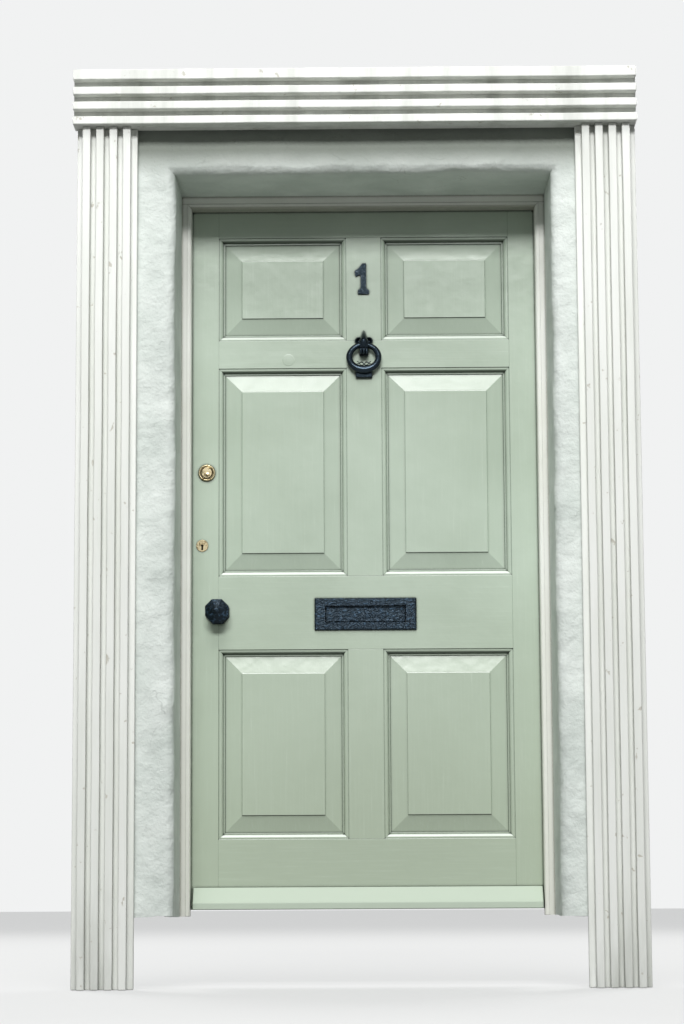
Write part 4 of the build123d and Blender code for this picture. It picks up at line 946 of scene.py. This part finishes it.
# The lever pack inside the deadlock, which closes the sight through the keyhole
levers = {"low": (-449.0, 315.5, 966.0), "high": (-427.0, 320.5, 999.0), "arris": 0.5}
form = bmesh.new()
block(form, levers["low"], levers["high"], levers["arris"])
# Its near-black steel is a painted shade inside the lock.
addPiece(form, "deadlockLevers", shadedLeverSteel, "leaf")

# An old hole in the frieze rail, stopped and painted over; it stands a hair proud
stoppedHole = {
    "centre": (-204.8, 0.0, 1493.0),
    "profile": ((0, 295.72), (14.0, 295.7), (16.0, 295.85), (16.6, 296.1), (0, 296.1)),
}
form = bmesh.new()
spun(form, stoppedHole["profile"], 1, stoppedHole["centre"], 40)
bmesh.ops.recalc_face_normals(form, faces=form.faces)
addPiece(form, "stoppedHole", sageLevel, "leaf", smooth=50)
print("fasteners made")


# Matt floor just below the pilasters' feet, which the camera and reflections see paler
backdrop = {
    "seen": "#F1F2F2", "floor": "#6E6E6D", "glow": 0.6, "fill": "#404447",
    "half": 30.0, "middle": (0.0, 6.0, -0.181)}
floorForm = bmesh.new()
bmesh.ops.create_grid(
    floorForm, x_segments=1, y_segments=1, size=backdrop["half"],
    matrix=Matrix.Translation(backdrop["middle"]))
floorMesh = bpy.data.meshes.new("floor")
floorForm.to_mesh(floorMesh)
floorForm.free()
paleFloor, tree = emptyMaterial("paleFloor")
matt = addNode(tree, "ShaderNodeBsdfPrincipled", {
    "Base Color": backdrop["floor"], "Roughness": 0.9})
glow = addNode(tree, "ShaderNodeEmission", {
    "Color": backdrop["seen"], "Strength": backdrop["glow"]})
both = addNode(tree, "ShaderNodeAddShader", {0: (matt, "BSDF"), 1: (glow, "Emission")})
rays = addNode(tree, "ShaderNodeLightPath")
mirrored = addNode(tree, "ShaderNodeMath", {
    0: (rays, "Is Camera Ray"), 1: (rays, "Is Glossy Ray")}, operation="MAXIMUM")
seen = addNode(tree, "ShaderNodeMixShader", {
    0: (mirrored, 0), 1: (matt, "BSDF"), 2: (both, "Shader")})
addNode(tree, "ShaderNodeOutputMaterial", {"Surface": (seen, "Shader")})
floorMesh.materials.append(paleFloor)
floor = bpy.data.objects.new("floor", floorMesh)
bpy.context.scene.collection.objects.link(floor)

# One low soft light from the street, so that up-facing bevels shine and the head shades the
# leaf's top, and a weak one above it. Two from behind reach only the house side and the flanks.
lamps = {
    "street": {"at": (-0.3, -11.5, 7.15), "aim": (0, 0.3, 1.2), "size": (5.5, 2.3), "watts": 1310},
    "overhead": {"at": (-0.3, -2.8, 6.2), "aim": (0, 0.1, 1.2), "size": (2.6, 3.2), "watts": 200},
    "houseLeft": {"at": (-5.0, 7.5, 5.5), "aim": (0, 0.3, 1.1), "size": (4.0, 4.0), "watts": 520},
    "houseRight": {"at": (5.0, 7.5, 5.5), "aim": (0, 0.3, 1.1), "size": (4.0, 4.0), "watts": 520},
}
for name, lamp in lamps.items():
    light = bpy.data.lights.new(name, "AREA")
    light.shape = "RECTANGLE"
    light.size, light.size_y = lamp["size"]
    light.energy = lamp["watts"]
    holder = bpy.data.objects.new(name, light)
    holder.location = lamp["at"]
    towards = Vector(lamp["aim"]) - Vector(lamp["at"])
    holder.rotation_euler = towards.to_track_quat("-Z", "Y").to_euler()
    bpy.context.scene.collection.objects.link(holder)

# A grey sky fills the shade; the camera, gloss and glass see it nearly white
world = bpy.data.worlds.new("plainSky")
bpy.context.scene.world = world
world.use_nodes = True
sky = world.node_tree
rays = addNode(sky, "ShaderNodeLightPath")
mirrored = addNode(sky, "ShaderNodeMath", {
    0: (rays, "Is Camera Ray"), 1: (rays, "Is Glossy Ray")}, operation="MAXIMUM")
seen = addNode(sky, "ShaderNodeMath", {
    0: (mirrored, 0), 1: (rays, "Is Transmission Ray")}, operation="MAXIMUM")
tint = addNode(sky, "ShaderNodeMix", {
    0: (seen, 0), 6: backdrop["fill"], 7: backdrop["seen"]}, data_type="RGBA")
sky.links.new(tint.outputs[2], sky.nodes["Background"].inputs["Color"])

# Camera low in front of the door, looking up; angles in degrees
view = {"at": (0.0024, -6.940, 0.054), "up": 8.035, "left": 0.507, "roll": -0.3, "lens": 63.59}
camera = bpy.data.cameras.new("camera")
camera.sensor_fit = "VERTICAL"
camera.sensor_height = 24.0
camera.lens = view["lens"]
holder = bpy.data.objects.new("camera", camera)
turned = Matrix.Rotation(radians(view["left"]), 4, "Z")
tilted = Matrix.Rotation(radians(90 + view["up"]), 4, "X")
rolled = Matrix.Rotation(radians(view["roll"]), 4, "Z")
holder.matrix_world = Matrix.Translation(view["at"]) @ turned @ tilted @ rolled
bpy.context.scene.collection.objects.link(holder)
bpy.context.scene.camera = holder
bpy.context.scene.view_settings.view_transform = "Standard"

print("scene ready")
